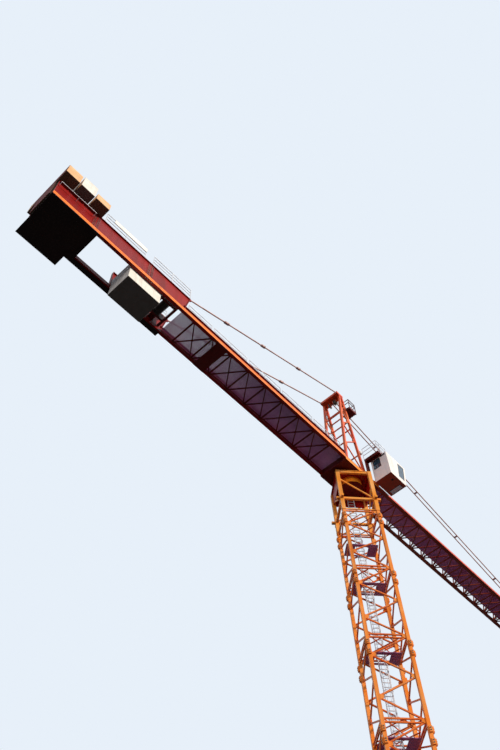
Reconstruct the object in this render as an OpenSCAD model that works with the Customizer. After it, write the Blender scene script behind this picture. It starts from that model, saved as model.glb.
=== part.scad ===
// Tower crane with a braced tower head, modelled at half its real size.
// The jib points along +X, the counter-jib along -X, and the origin is under the mast.
// Right is the -Y side and left is the +Y side. Lengths are millimetres of the model.

/* [Mast] */
// Distance between the centres of neighbouring mast legs
mast_w = 1150; // [1000:10:1250]
// Height of one mast section
section_h = 2518; // [2400:2:2600]
// Number of mast sections
section_n = 8; // [6:1:9]
// Height of the lowest section's foot over the ground
mast_foot = 700; // [600:10:900]
// Angle from the jib to the mast's own axes
mast_turn = 47.5; // [30:0.5:60]
// Width of a square mast leg
leg_w = 100; // [80:2:120]
// Width of a mast lattice bar
lattice_w = 40; // [30:2:48]
// Thickness of a connecting lug on a mast leg
lug_t = 45; // [30:5:60]
// Length of a connecting lug on a mast leg
lug_l = 160; // [120:10:200]
// Width of the mast ladder
ladder_w = 220; // [180:10:260]
// Distance between ladder rungs
rung_pitch = 140; // [120:5:160]
// Depth of a rest platform in the mast
rest_depth = 520; // [400:10:600]

/* [Base cross] */
// Reach of a base beam from the centre
base_reach = 1300; // [1200:10:1500]
// Width of a base beam
base_w = 260; // [200:10:320]
// Height of a base beam
base_h = 300; // [200:10:360]
// Radius of the circle through the anchor holes
anchor_r = 1150; // [1100:10:1180]
// Radius of an anchor hole
anchor_hole_r = 22; // [12:1:26]

/* [Tower top] */
// Height of the tower top over the last mast section
top_h = 2000; // [1900:10:2100]
// Width of a square leg of the tower top
top_leg_w = 126; // [110:2:150]
// Height of the walking ledge over the last mast section
ledge_h = 520; // [450:5:600]
// Reach of the ledge past the mast legs
ledge_reach = 185; // [150:5:220]
// Depth of a ledge beam
ledge_t = 85; // [70:5:100]
// Height of the closed band under the slewing ring
band_h = 390; // [340:10:460]
// Thickness of the tower top's plates
plate_t = 20; // [12:2:30]
// Height of the drum under the slewing ring
drum_h = 300; // [240:10:340]
// Radius of the drum under the slewing ring
drum_r = 400; // [340:10:440]

/* [Slewing ring] */
// Outer radius of the slewing ring
ring_r = 560; // [500:10:600]
// Inner radius of the slewing ring
ring_bore_r = 430; // [380:10:460]
// Height of the whole slewing ring
ring_h = 100; // [80:2:140]
// Running gap between the halves of the slewing ring
ring_gap = 0.5; // [0.3:0.1:0.8]
// Half length of the slewing platform along the jib
platform_x = 950; // [940:10:1050]
// Height of the slewing platform
platform_h = 210; // [180:10:240]

/* [Counter-jib] */
// Reach of the counter-jib's girders from the mast's axis
counter_len = 14130; // [14100:5:14160]
// Length of the deep girders at the counter-jib's end
deep_len = 5175; // [5100:5:5250]
// Half distance between the middles of the girders
girder_y = 538; // [532:2:546]
// Depth of the shallow girders
shallow_h = 367; // [340:1:400]
// Depth of the deep girders
deep_h = 1101; // [1050:1:1150]
// Width of a girder's top flange and of its bottom box
flange_w = 106; // [100:2:112]
// Height of a girder's bottom box
box_h = 174; // [160:2:190]
// Thickness of a girder's top flange
flange_t = 14; // [10:1:20]
// Lean of the deep girders' front end towards the mast
end_slant = 224; // [180:2:260]
// Thickness of a girder web
web_t = 12; // [8:1:16]
// Distance from the deep girders to the outermost cross bar
brace_gap = 520; // [300:5:600]
// Length of one bracing bay of the counter-jib
counter_bay = 837; // [800:1:880]
// Width of a bracing bar of the counter-jib
brace_w = 36; // [26:2:44]
// Thickness of a walkway grating
grate_t = 20; // [15:1:30]
// Length of the cross plate under the counter-jib
cross_plate_l = 450; // [400:10:550]
// Distance from the deep girders to the cross plate's middle
cross_plate_gap = 1775; // [1650:25:1900]

/* [Railings] */
// Height of the handrails
rail_h = 650; // [600:10:700]
// Width of a handrail bar
rail_w = 24; // [18:2:28]
// Distance of the handrails from the jib's middle plane
rail_y = 520; // [515:1:525]
// Drop from one bar of the handrails to the next
rail_drop = 200; // [180:5:220]
// Length of one railing panel along the walkway
rail_panel = 1681; // [1650:1:1700]
// Length of the railing's short end panel along the walkway
rail_end_l = 1360; // [1250:5:1450]
// Gap between neighbouring railing panels
rail_gap = 95; // [60:5:120]
// Length of an outer railing panel
outer_rail_l = 1670; // [1600:5:1700]
// Distance from one outer railing panel to the next
outer_rail_pitch = 1985; // [1950:5:2000]
// Length of the board on the railing
board_l = 1350; // [1250:10:1400]
// Height of the board on the railing
board_h = 250; // [200:10:300]
// Thickness of the board on the railing
board_t = 14; // [10:1:20]

/* [Ballast] */
// Thickness of an end ballast block
block_t = 518; // [480:2:540]
// Distance between the middles of end ballast blocks
block_pitch = 575; // [560:1:600]
// Distance from the girders' end to the outermost block's middle
block_back = 198; // [160:2:220]
// Half width of an end ballast block
block_half_w = 938; // [900:2:980]
// Height of the outer ballast block over the girders
block_outer_h = 578; // [520:2:620]
// Height of the centre ballast block over the girders
block_centre_h = 706; // [660:2:760]
// Height of the inner ballast block over the girders
block_inner_h = 400; // [340:5:460]
// Length of the ballast floor
ballast_floor_l = 1720; // [1650:10:1750]
// Reach of the ballast floor to the left of the jib's middle plane
ballast_floor_y = 1115; // [1050:5:1150]
// Reach of the shelf along the left deep girder
shelf_y = 708; // [660:2:760]
// Length of the hanging ballast block
hang_l = 1260; // [1150:10:1350]
// Distance from the deep girders' start to the hanging ballast block's middle
hang_gap = 1480; // [1400:10:1560]
// Depth of the hanging ballast block below the girders
hang_drop = 585; // [520:5:650]
// Height of the hanging ballast block's shoulder
hang_shoulder = 330; // [260:10:400]

/* [Tower head] */
// Height of the tower head over the slewing platform
head_h = 4815; // [4600:5:5000]
// Position of the rear leg's foot along the jib
head_rear_foot = -600; // [-700:5:-550]
// Position of the front leg's foot along the jib
head_front_foot = 530; // [480:5:600]
// Position of the rear leg's top along the jib
head_rear_top = -175; // [-230:5:-160]
// Position of the front leg's top along the jib
head_front_top = -40; // [-50:5:0]
// Half distance between the middles of the head frames
head_y = 395; // [380:5:410]
// Width of a tower head leg
head_leg_w = 86; // [70:2:100]
// Height of the head's lowest rear zigzag joint over the deck
head_first_h = 1370; // [1300:10:1450]
// Height from that joint to the rear rung of the head
head_rear_rung = 2190; // [2100:10:2280]
// Height of the lowest rung of the head over the deck
head_rung_from = 2865; // [2800:5:2950]
// Height between the rungs of the head
head_rung_pitch = 430; // [400:5:450]
// Length of the head's service platform
service_l = 430; // [400:5:460]
// Width of the head's service platform
service_w = 355; // [340:5:380]
// Depth of the service platform's floor below the head's top
service_drop = 800; // [750:5:860]

/* [Jib] */
// Reach of the jib from the mast's axis
jib_len = 25050; // [24900:10:25400]
// Half distance between the lower chords
jib_y = 505; // [500:1:510]
// Height from the lower chords to the top chord
jib_h = 1000; // [900:10:1100]
// Length of one jib bay
jib_bay = 742; // [720:1:760]
// Distance from the slewing platform to the jib's first joint
jib_lead = 498; // [460:2:520]
// Depth of a lower chord
chord_h = 100; // [90:2:120]
// Width of a lower chord
chord_w = 80; // [70:2:90]
// Width of the runway lip on the inner side of a lower chord
runway_w = 60; // [50:2:70]
// Thickness of the runway lip
runway_t = 16; // [12:2:20]
// Width of the square top chord
top_chord_w = 100; // [80:2:120]
// Width of a jib lattice bar
jib_bar_w = 34; // [28:2:40]
// Height of the jib walkway over the lower chords
jib_walk_h = 190; // [150:5:200]
// Distance from the jib's end to the jib tie's foot
tie_foot_back = 8650; // [8000:50:9300]
// Width of a tie bar
tie_w = 36; // [30:2:44]
// Distance between the two bars of the jib tie
tie_gap = 150; // [120:10:200]

/* [Trolley] */
// Number of the jib bay at which the trolley stands
trolley_bay = 20; // [12:1:26]
// Length of the trolley
trolley_l = 900; // [700:10:1000]
// Height of the hook block's rope falls
falls_h = 700; // [500:10:1200]

/* [Cab] */
// Position of the cab's rear wall along the jib
cab_x = 705; // [690:5:740]
// Length of the cab at its floor
cab_len = 940; // [900:5:980]
// Lean of the cab's front at its roof
cab_lean = 260; // [200:10:300]
// Position of the cab's inner wall across the jib
cab_y = 635; // [630:5:660]
// Width of the cab
cab_w = 705; // [680:5:740]
// Height of the cab
cab_h = 1210; // [1180:5:1240]
// Depth of the cab's underside below the deck
cab_drop = 120; // [100:5:150]
// Length of the walkway behind the cab
cab_walk_l = 225; // [180:5:280]
// Reach of the walkway behind the cab from the jib's middle plane
cab_walk_y = 1160; // [1100:5:1200]
// Length of the railing over the cab's roof
roof_rail_l = 400; // [300:10:500]
// Thickness of the cab's walls
cab_t = 30; // [24:2:40]

/* [Hidden] */

// Heights of the tower
mast_top = mast_foot + section_n * section_h;
top_z = mast_top + top_h;
ring_z = top_z + ring_h / 2;
platform_z = top_z + ring_h;
deck_z = platform_z + platform_h;
head_z = deck_z + head_h;

// Positions worked out from the mast's size
half_mast = mast_w / 2;
leg_in = half_mast - leg_w / 2;
lattice_quarter = section_h / 4;
pair_gap = 50;
foot_plate_t = 30;
side_gap = 10;

// Heights of the counter-jib
girder_z = platform_z + 94;
shallow_top = girder_z + shallow_h;
deep_top = girder_z + deep_h;
box_in = girder_y - flange_w / 2;
box_out = girder_y + flange_w / 2;
box_top = girder_z + box_h;
web_in = girder_y - web_t / 2;
end_plate_t = 15;
platform_side_w = 110;

// Reaches along the counter-jib, measured back from its end and from the deep girders
deep_from = counter_len - deep_len;
brace_from = deep_from - brace_gap;
cross_plate_x = deep_from - cross_plate_gap;
rail_from = deep_from - rail_end_l;
open_from = counter_len - ballast_floor_l - side_gap;
deep_top_from = deep_from - end_slant;
outer_rail_from = deep_top_from + 10;
board_from = outer_rail_from + outer_rail_pitch + 10;
block_x = counter_len - block_back;
hang_x = deep_from + hang_gap;
open_to = hang_x + hang_l / 2 + end_plate_t + side_gap;

// Sizes of the winch
winch_from = deep_from + 90;
winch_l = 670;
winch_beam = 70;
winch_half = 260;
winch_x = winch_from + winch_l / 2;
winch_z = box_top + 270;

// Heights of the jib
chord_top = box_top;
chord_bottom = chord_top - chord_h;
cross_bar_z = chord_top - 60;
chord_in = jib_y - chord_w / 2;
upper_node_z = chord_top + jib_h;
jib_start = platform_x + jib_lead;
jib_bays = floor((jib_len - jib_start - jib_bar_w) / jib_bay);
side_run = norm([jib_y, jib_h]);
side_lean = atan2(jib_y, jib_h);
top_chord_from = jib_start + jib_bay / 2;
top_chord_to = jib_start + (jib_bays - 0.5) * jib_bay;
jib_walk_z = chord_top + jib_walk_h;
jib_walk_half = jib_y * (1 - (jib_walk_h + grate_t) / jib_h) - 25;
tie_foot_x = jib_len - tie_foot_back;
trolley_x = jib_start + trolley_bay * jib_bay;

// Sizes of the tower head
service_h = head_h - service_drop;
head_cap_h = 120;
head_cap_from = head_rear_top - 190;
head_cap_to = head_front_top + 60;
head_cap_y = head_y + head_leg_w / 2 + 5;
head_mid_top = (head_cap_from + head_cap_to) / 2;

// Sizes of small parts
cab_z = deck_z - cab_drop;
tie_lug_t = 40;
seat_gap = 0.3;
tie_foot = [-deep_top_from + 15, -girder_y, deep_top + 30];
roof_z = cab_z + cab_h;

// Heights of a head frame's zigzag joints, as shares of its height, on the rear and the front leg
rear_joints = [head_first_h / head_h, 0.571, 0.785, 0.93];
front_joints = [0.06, 0.434, 0.675, 0.866];

// Place of the rear leg and of the front leg along the jib at a height over the deck
function rear_x(h) = head_rear_foot + (head_rear_top - head_rear_foot) * h / head_h;
function front_x(h) = head_front_foot + (head_front_top - head_front_foot) * h / head_h;

// A flat bar between two points of a drawing
module bar2(p, q, w) {
    d = q - p;
    translate(p) rotate(atan2(d[1], d[0])) translate([0, -w / 2]) square([norm(d), w]);
}

// A square bar between two points in space
module beam(p, q, w, h) {
    d = q - p;
    len = norm(d);
    translate(p)
        rotate([0, acos(d[2] / len), atan2(d[1], d[0])])
            translate([-h / 2, -w / 2, 0]) cube([h, w, len]);
}

// A box given by its lowest corner and its highest corner
module box(low, high) {
    translate(low) cube(high - low);
}

// The same shape on both sides of the jib's middle plane
module both_sides() {
    children();
    mirror([0, 1, 0]) children();
}

// Base cross under the mast legs, with one anchor hole at each end
module base_cross() {
    color("darkorange") rotate(mast_turn + 45) difference() {
        union() {
            for (turn = [0, 90]) rotate(turn) {
                translate([-base_reach, -base_w / 2, 0]) cube([2 * base_reach, base_w, base_h]);
            }
            for (turn = [0, 90, 180, 270]) rotate(turn) {
                translate([half_mast * sqrt(2), 0, 0]) rotate(45)
                    translate([-leg_w, -leg_w, base_h / 2]) cube([2 * leg_w, 2 * leg_w, base_h / 2 + foot_plate_t]);
            }
        }
        for (turn = [0, 90, 180, 270]) rotate(turn)
            translate([anchor_r, 0, -1]) cylinder(r = anchor_hole_r, h = base_h + 2);
        for (turn = [0, 90, 180, 270]) rotate(turn)
            translate([anchor_r - 100, -base_w, 60]) cube([base_reach, 2 * base_w, base_h]);
    }
}

// One mast leg with its outward connecting lugs at the section joints
module mast_leg(sx, sy) {
    color("orange") rotate(mast_turn) scale([sx, sy, 1]) {
        union() {
            box([leg_in, leg_in, base_h + foot_plate_t], [leg_in + leg_w, leg_in + leg_w, mast_top]);
            for (k = [0:section_n - 1]) {
                z = mast_foot + (k + 1) * section_h - lug_l;
                for (drop = [0, 2 * lug_l]) {
                    box([leg_in + leg_w, leg_in + 20, z - lug_l - drop],
                        [leg_in + leg_w + lug_t, leg_in + leg_w, z - drop]);
                    box([leg_in + 20, leg_in + leg_w, z - lug_l - drop],
                        [leg_in + leg_w, leg_in + leg_w + lug_t, z - drop]);
                }
            }
        }
    }
}

// One side of the mast's lattice, drawn flat and stood up between two legs
module mast_lattice(turn) {
    color("orange") rotate(mast_turn + turn)
        translate([half_mast, 0, 0]) rotate([90, 0, 90])
            linear_extrude(height = lattice_w, center = true) intersection() {
                union() {
                    for (k = [0:section_n - 1]) mast_lattice_section(mast_foot + k * section_h);
                }
                translate([-leg_in, 0]) square([2 * leg_in, mast_top]);
            }
}

// One section's zigzag with a level bar at its foot and its head
module mast_lattice_section(z) {
    for (level = [z + pair_gap, z + section_h - pair_gap])
        bar2([-half_mast, level], [half_mast, level], lattice_w);
    for (k = [0:3]) {
        side = k % 2 == 0 ? 1 : -1;
        bar2([side * half_mast, z + k * lattice_quarter],
            [-side * half_mast, z + (k + 1) * lattice_quarter], lattice_w);
    }
}

// Ladder inside the mast, held by brackets from the back lattice
module mast_ladder() {
    stringer = 30;
    ladder_x = half_mast - 230;
    color("silver") rotate(mast_turn) {
        for (s = [-1, 1]) translate([ladder_x, s * ladder_w / 2 - stringer / 2, base_h])
            cube([stringer, stringer, top_z - band_h - base_h]);
        for (z = [base_h + rung_pitch:rung_pitch:top_z - band_h - stringer])
            translate([ladder_x + 5, -ladder_w / 2, z]) cube([18, ladder_w, 18]);
        for (k = [1:section_n - 1], s = [-1, 1]) {
            z = mast_foot + k * section_h + pair_gap;
            box([ladder_x, s * ladder_w / 2 - 10, z - 10],
                [half_mast - lattice_w / 2, s * ladder_w / 2 + 10, z + 10]);
        }
    }
}

// Rest platforms between the back legs, each with a hole for the ladder
module mast_platforms() {
    color("slategray") rotate(mast_turn)
        for (k = [1:section_n]) {
            z = mast_foot + k * section_h - pair_gap - lattice_w / 2 - grate_t - (k == section_n ? 900 : 0);
            difference() {
                box([leg_in - rest_depth, -leg_in, z], [half_mast - lattice_w / 2, leg_in, z + grate_t]);
                box([half_mast - 460, -ladder_w, z - 1], [half_mast - 80, ladder_w, z + grate_t + 1]);
            }
        }
}

// Tower top: four thick legs, a ledge, a closed band and the drum under the slewing ring
module tower_top() {
    leg_low = half_mast - top_leg_w / 2;
    leg_high = half_mast + top_leg_w / 2;
    band_z = top_z - band_h;
    color("orange") rotate(mast_turn) {
        for (sx = [-1, 1], sy = [-1, 1]) scale([sx, sy, 1])
            box([leg_low, leg_low, mast_top], [leg_high, leg_high, top_z - plate_t]);
        for (turn = [0, 90, 180, 270]) rotate(turn) {
            translate([half_mast - ledge_t / 2, -half_mast - ledge_reach, mast_top + ledge_h])
                cube([ledge_t, 2 * (half_mast + ledge_reach), ledge_t]);
            translate([half_mast, 0, 0]) rotate([90, 0, 90])
                linear_extrude(height = lattice_w, center = true) intersection() {
                    union() {
                        bar2([half_mast, mast_top + ledge_h + ledge_t], [-half_mast, band_z], lattice_w);
                        bar2([-half_mast, mast_top + pair_gap], [half_mast, mast_top + pair_gap], lattice_w);
                    }
                    translate([-leg_low, 0]) square([2 * leg_low, top_z]);
                }
        }
        difference() {
            box([-leg_high, -leg_high, top_z - plate_t], [leg_high, leg_high, top_z]);
            translate([0, 0, top_z - plate_t - 1]) cylinder(r = drum_r - plate_t, h = plate_t + 2);
        }
        translate([0, 0, top_z - drum_h]) difference() {
            cylinder(r = drum_r, h = drum_h - plate_t);
            translate([0, 0, plate_t]) cylinder(r = drum_r - plate_t, h = drum_h);
        }
        rotate(180) box([half_mast - ledge_t / 2, -leg_low, top_z - plate_t - ledge_t],
            [half_mast + ledge_t / 2, leg_low, top_z - plate_t]);
        for (turn = [0, 90, 270]) rotate(turn)
            box([half_mast - plate_t / 2, -leg_low, band_z - 200], [half_mast + plate_t / 2, leg_low, top_z - plate_t]);
    }
}

// A flat ring
module ring(r, bore, h) {
    difference() {
        cylinder(r = r, h = h);
        translate([0, 0, -1]) cylinder(r = bore, h = h + 2);
    }
}

// Fixed half of the slewing ring
module slewing_ring_base() {
    color("dimgray") translate([0, 0, top_z]) ring(ring_r, ring_bore_r, ring_h / 2 - ring_gap);
}

// Turning half of the slewing ring
module slewing_ring_top() {
    color("dimgray") translate([0, 0, ring_z]) ring(ring_r, ring_bore_r, ring_h / 2);
}

// Slewing platform: welded side beams, cross beams, bottom plate and corner ears for jib and girders
module slewing_platform() {
    ear_l = 80;
    color("firebrick") {
        both_sides() {
            box([-platform_x, girder_y - platform_side_w / 2, platform_z],
                [platform_x, girder_y + platform_side_w / 2, deck_z]);
            box([platform_x - ear_l, chord_in, platform_z], [platform_x, jib_y + chord_w / 2, chord_top]);
            box([-platform_x, box_in, platform_z], [-platform_x + ear_l, box_out, shallow_top]);
        }
        for (x = [-platform_x, platform_x - 60])
            box([x, -girder_y, platform_z], [x + 60, girder_y, deck_z]);
        for (x = [head_rear_foot, head_front_foot])
            box([x - head_leg_w, -girder_y, platform_z], [x + head_leg_w, girder_y, deck_z]);
        difference() {
            box([-platform_x, -girder_y, platform_z], [platform_x, girder_y, platform_z + plate_t]);
            translate([0, 0, platform_z - 1]) cylinder(r = ring_bore_r - 60, h = plate_t + 2);
        }
        box([cab_x, -cab_y, deck_z - 100], [platform_x, -girder_y, deck_z - 20]);
    }
}

// Slewing drive: gearbox and upright motor on the platform's bottom plate
module slew_drive() {
    base = platform_z + plate_t;
    color("darkred") translate([-250, 150, 0]) {
        translate([0, 0, base]) cylinder(r = 110, h = 220);
        translate([0, 0, base + 220]) cylinder(r = 80, h = 300);
    }
}

// One side frame of the tower head: two leaning legs and the zigzag between them
module head_frame() {
    color("orangered") translate([0, -head_y, deck_z]) rotate([90, 0, 0]) intersection() {
        union() {
            linear_extrude(height = head_leg_w, center = true) {
                head_leg2(head_rear_foot, head_rear_top);
                head_leg2(head_front_foot, head_front_top);
            }
            linear_extrude(height = lattice_w, center = true) {
                for (k = [0:3]) {
                    rear = rear_joints[k] * head_h;
                    front = front_joints[k] * head_h;
                    bar2([front_x(front), front], [rear_x(rear), rear], lattice_w);
                    if (k < 3) {
                        next = front_joints[k + 1] * head_h;
                        bar2([rear_x(rear), rear], [front_x(next), next], lattice_w);
                    }
                }
            }
        }
        box([-2 * platform_x, 0, -head_leg_w], [2 * platform_x, head_h, head_leg_w]);
    }
}

module head_leg2(foot, top) {
    run = [top - foot, head_h];
    bar2([foot, 0] - 0.05 * run, [top, head_h] + 0.05 * run, head_leg_w);
}

module head_frame_right() { head_frame(); }
module head_frame_left() { mirror([0, 1, 0]) head_frame(); }

// Cap of the tower head, to which the ties are pinned
module head_cap() {
    box([head_cap_from, -head_cap_y, head_z], [head_cap_to, head_cap_y, head_z + head_cap_h]);
}

// Cap, and the bars and rungs that join the two head frames
module head_cross_frame() {
    color("orangered") {
        head_cap();
        difference() {
            union() {
                for (h = [head_first_h, head_first_h + head_rear_rung]) head_rung(rear_x(h), h);
                for (h = [head_first_h, for (k = [0:3]) head_rung_from + k * head_rung_pitch])
                    head_rung(front_x(h), h);
            }
            head_frame_right();
            head_frame_left();
        }
    }
}

// A level bar from one head frame to the other
module head_rung(x, h) {
    box([x - lattice_w / 2, -head_y, deck_z + h - lattice_w / 2], [x + lattice_w / 2, head_y, deck_z + h + lattice_w / 2]);
}

// Small service platform in front of the right head frame, on two bars from the front leg
module head_platform() {
    z = deck_z + service_h;
    from = front_x(service_h) + 55;
    to = from + service_l;
    near = 260;
    far = near + service_w;
    floor_t = 30;
    bar = 40;
    color("firebrick") difference() {
        union() {
            box([from, -far, z], [to, -near, z + floor_t]);
            for (y = [near, far - bar])
                box([front_x(service_h), -y - bar, z - bar], [to, -y, z]);
            box([front_x(service_h) - bar / 2, -far, z - bar], [front_x(service_h) + bar / 2, -near, z]);
            for (x = [from, to - rail_w], y = [near, far - rail_w])
                box([x, -y - rail_w, z + floor_t], [x + rail_w, -y, z + rail_h]);
            for (h = [rail_h - rail_drop, rail_h]) {
                for (y = [near, far - rail_w]) box([from, -y - rail_w, z + h - rail_w], [to, -y, z + h]);
                for (x = [from, to - rail_w]) box([x, -far, z + h - rail_w], [x + rail_w, -near, z + h]);
            }
        }
        head_frame_right();
    }
}

// One girder: a bottom box, a web, a top flange, end plates and the tie's lug
module counter_girder() {
    union() {
        box([-counter_len, -box_out, girder_z], [-platform_x, -box_in, box_top]);
        box([-deep_from, -box_out, shallow_top - flange_t], [-platform_x, -box_in, shallow_top]);
        box([-deep_from, -girder_y - web_t / 2, girder_z], [-platform_x, -web_in, shallow_top]);
        box([-counter_len, -box_out, deep_top - flange_t], [-deep_top_from, -box_in, deep_top]);
        box([-counter_len, -box_out, girder_z], [-counter_len + end_plate_t, -box_in, deep_top]);
        translate([0, -web_in, 0]) rotate([90, 0, 0]) linear_extrude(height = web_t)
            polygon([[-counter_len, girder_z], [-deep_from, girder_z],
                [-deep_top_from, deep_top], [-counter_len, deep_top]]);
        translate([0, -box_in, 0]) rotate([90, 0, 0]) linear_extrude(height = flange_w)
            polygon([[-deep_from - end_plate_t, girder_z], [-deep_from, girder_z],
                [-deep_top_from, deep_top], [-deep_top_from - end_plate_t, deep_top]]);
        box([-deep_top_from - 120, -girder_y - tie_lug_t / 2, deep_top - 60],
            [tie_foot[0] + 30, -girder_y + tie_lug_t / 2, tie_foot[2] + 30]);
    }
}

module counter_girder_right() { color("firebrick") counter_girder(); }

// The left girder is cut down to its bottom box between the end ballast and the hanging block
module counter_girder_left() {
    color("firebrick") mirror([0, 1, 0]) {
        difference() {
            counter_girder();
            box([-open_from, -box_out - 1, box_top], [-open_to, -box_in + 1, deep_top + 1]);
        }
        for (x = [-open_from - end_plate_t, -open_to])
            box([x, -box_out, girder_z], [x + end_plate_t, -box_in, deep_top]);
    }
}

// Cross bars and crossed diagonals between the bottom boxes of the shallow girders
module counter_bracing() {
    bays = floor((brace_from - platform_x) / counter_bay);
    color("darkred") translate([0, 0, girder_z + side_gap])
        linear_extrude(height = brace_w) intersection() {
            for (k = [0:bays]) {
                x = -brace_from + k * counter_bay;
                bar2([x, -girder_y], [x, girder_y], 1.4 * brace_w);
                if (k < bays) {
                    bar2([x, -girder_y], [x + counter_bay, girder_y], brace_w);
                    bar2([x, girder_y], [x + counter_bay, -girder_y], brace_w);
                }
            }
            translate([-counter_len, -box_in]) square([counter_len - platform_x, 2 * box_in]);
        }
}

// Flat plate that ties the two girders together from below
module counter_cross_plate() {
    color("darkred")
        box([-cross_plate_x - cross_plate_l / 2, -box_out, girder_z - plate_t],
            [-cross_plate_x + cross_plate_l / 2, box_out, girder_z]);
}

// Grating that lies on the bottom boxes between the webs of the shallow girders
module counter_walkway() {
    edge = web_in - side_gap;
    from = deep_from - end_slant * (box_h + grate_t) / deep_h - side_gap;
    color("slategray")
        box([-from, -edge, box_top], [-platform_x - side_gap, edge, box_top + grate_t]);
}

// One railing panel: three posts and three level bars
module rail_panel_at(from, to, y, z, top) {
    for (x = [from, (from + to - rail_w) / 2, to - rail_w])
        box([x, -y, z], [x + rail_w, -y + rail_w, top]);
    for (k = [0:2])
        box([from, -y, top - k * rail_drop - rail_w], [to, -y + rail_w, top - k * rail_drop]);
}

// Railing of one side: inner panels on the shallow girder, outer panels on the deep girder
module counter_rail(outer_panels) {
    panels = floor((rail_from - platform_x) / rail_panel);
    last = -rail_from + panels * rail_panel + rail_gap / 2;
    top = box_top + grate_t + rail_h;
    color("gainsboro") {
        rail_panel_at(-deep_top_from + rail_w, -rail_from - rail_gap / 2, rail_y, shallow_top, top);
        for (k = [0:panels - 1])
            rail_panel_at(-rail_from + k * rail_panel + rail_gap / 2,
                -rail_from + (k + 1) * rail_panel - rail_gap / 2, rail_y, shallow_top, top);
        if (last < -platform_x - 3 * rail_gap)
            rail_panel_at(last, -platform_x - rail_gap, rail_y, shallow_top, top);
        for (k = [0:outer_panels - 1]) {
            from = -outer_rail_from - k * outer_rail_pitch;
            rail_panel_at(from - outer_rail_l, from, box_out, deep_top, deep_top + rail_h);
        }
    }
}

module counter_rail_right() { counter_rail(2); }
module counter_rail_left() { mirror([0, 1, 0]) counter_rail(1); }

// Blank board on the outer railing panel of the right side
module rail_board() {
    z = deep_top + rail_h - board_h;
    color("white")
        box([-board_from - board_l, -box_out - board_t, z], [-board_from, -box_out, z + board_h]);
}

// One end ballast block: a body between the girders and a head that rests on them
module ballast_block(index) {
    x = -block_x + index * block_pitch;
    high = [block_outer_h, block_centre_h, block_inner_h][index];
    body_half = box_in - 2 * side_gap;
    color(index == 1 ? "lightgray" : "burlywood") {
        box([x - block_t / 2, -block_half_w, deep_top], [x + block_t / 2, block_half_w, deep_top + high]);
        box([x - block_t / 2, -body_half, girder_z + 100], [x + block_t / 2, body_half, deep_top]);
    }
}

module ballast_block_outer() { ballast_block(0); }
module ballast_block_centre() { ballast_block(1); }
module ballast_block_inner() { ballast_block(2); }

// Closed floor under the end ballast, wider on the left side, with a shelf along the left girder
module ballast_floor() {
    floor_t = 25;
    from = -counter_len - side_gap;
    color("dimgray") {
        box([from, -box_out, girder_z - floor_t], [from + ballast_floor_l, shelf_y, girder_z]);
        box([from, girder_y, girder_z - floor_t], [from + ballast_floor_l - 245, ballast_floor_y, girder_z]);
        box([from, girder_y, girder_z - floor_t], [-deep_from, shelf_y, girder_z]);
    }
}

// Ballast block that hangs between the girders from shoulders on their bottom boxes
module hanging_ballast() {
    body_half = box_in - 2 * side_gap;
    shoulder_half = web_in - side_gap;
    color("linen") {
        box([-hang_x - hang_l / 2, -body_half, girder_z - hang_drop], [-hang_x + hang_l / 2, body_half, box_top]);
        box([-hang_x - hang_l / 2, -shoulder_half, box_top],
            [-hang_x + hang_l / 2, shoulder_half, box_top + hang_shoulder]);
    }
}

// Winch frame across the girders' bottom boxes
module winch_frame() {
    half = web_in - side_gap;
    beam_h = 90;
    motor_l = 190;
    color("darkred") {
        for (x = [-winch_from - winch_l, -winch_from - winch_beam])
            box([x, -half, box_top], [x + winch_beam, half, box_top + beam_h]);
        for (y = [-winch_half - winch_beam, winch_half])
            box([-winch_from - winch_l, y, box_top + beam_h],
                [-winch_from, y + winch_beam, winch_z + 130]);
        translate([-winch_x, winch_half + winch_beam + motor_l, winch_z]) rotate([90, 0, 0])
            cylinder(r = 110, h = motor_l);
    }
}

// Winch drum with its two flanges, between the cheeks of the frame
module winch_drum() {
    flange = 20;
    color("gray") translate([-winch_x, 0, winch_z]) rotate([90, 0, 0]) {
        translate([0, 0, -winch_half]) cylinder(r = 130, h = 2 * winch_half);
        for (s = [-winch_half, winch_half - flange]) translate([0, 0, s]) cylinder(r = 190, h = flange);
    }
}

// One tie from the deep girder's lug to the cap of the tower head
module counter_tie() {
    high = [head_cap_from + 60, -head_y, head_z + head_cap_h / 2];
    run = high - tie_foot;
    color("rosybrown") difference() {
        union() {
            beam(tie_foot, high, tie_w, tie_w);
            for (share = [0.2, 0.43, 0.68])
                beam(tie_foot + run * share, tie_foot + run * (share + 0.015), 2 * tie_w, 1.5 * tie_w);
        }
        counter_girder();
        head_cap();
    }
}

module counter_tie_right() { counter_tie(); }
module counter_tie_left() { mirror([0, 1, 0]) counter_tie(); }

// Side outline of the cab, with a front that leans out to the roof
module cab_outline(inset) {
    polygon([
        [inset, inset], [cab_len - inset, inset],
        [cab_len + cab_lean - inset, cab_h - inset], [inset, cab_h - inset]
    ]);
}

// Places a drawing of the cab's side as a slab between two distances from the jib
module cab_slab(near, far) {
    translate([cab_x, -near, cab_z]) rotate([90, 0, 0]) linear_extrude(height = far - near) children();
}

// Windows of the cab, drawn as cuts: front, outer side, inner side and rear
module cab_cuts(grow) {
    front_low = 250;
    side_from = 570;
    pillar_lean = 150;
    cab_slab(cab_y + 60, cab_y + cab_w - 60)
        polygon([[cab_len - 3 * cab_t, front_low], [cab_len + 3 * cab_lean, front_low],
            [cab_len + 3 * cab_lean, cab_h - 70], [cab_len + cab_lean - 3 * cab_t, cab_h - 70]]);
    for (y = [cab_y - 1, cab_y + cab_w - cab_t - 1]) cab_slab(y, y + cab_t + 2)
        polygon([[side_from, front_low], [cab_len - 40, front_low],
            [cab_len + cab_lean - 120, cab_h - 90], [side_from + pillar_lean, cab_h - 90]]);
    translate([cab_x - 1, -cab_y - cab_w + 315, cab_z + 625]) cube([cab_t + 2, 305, 460]);
}

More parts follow.
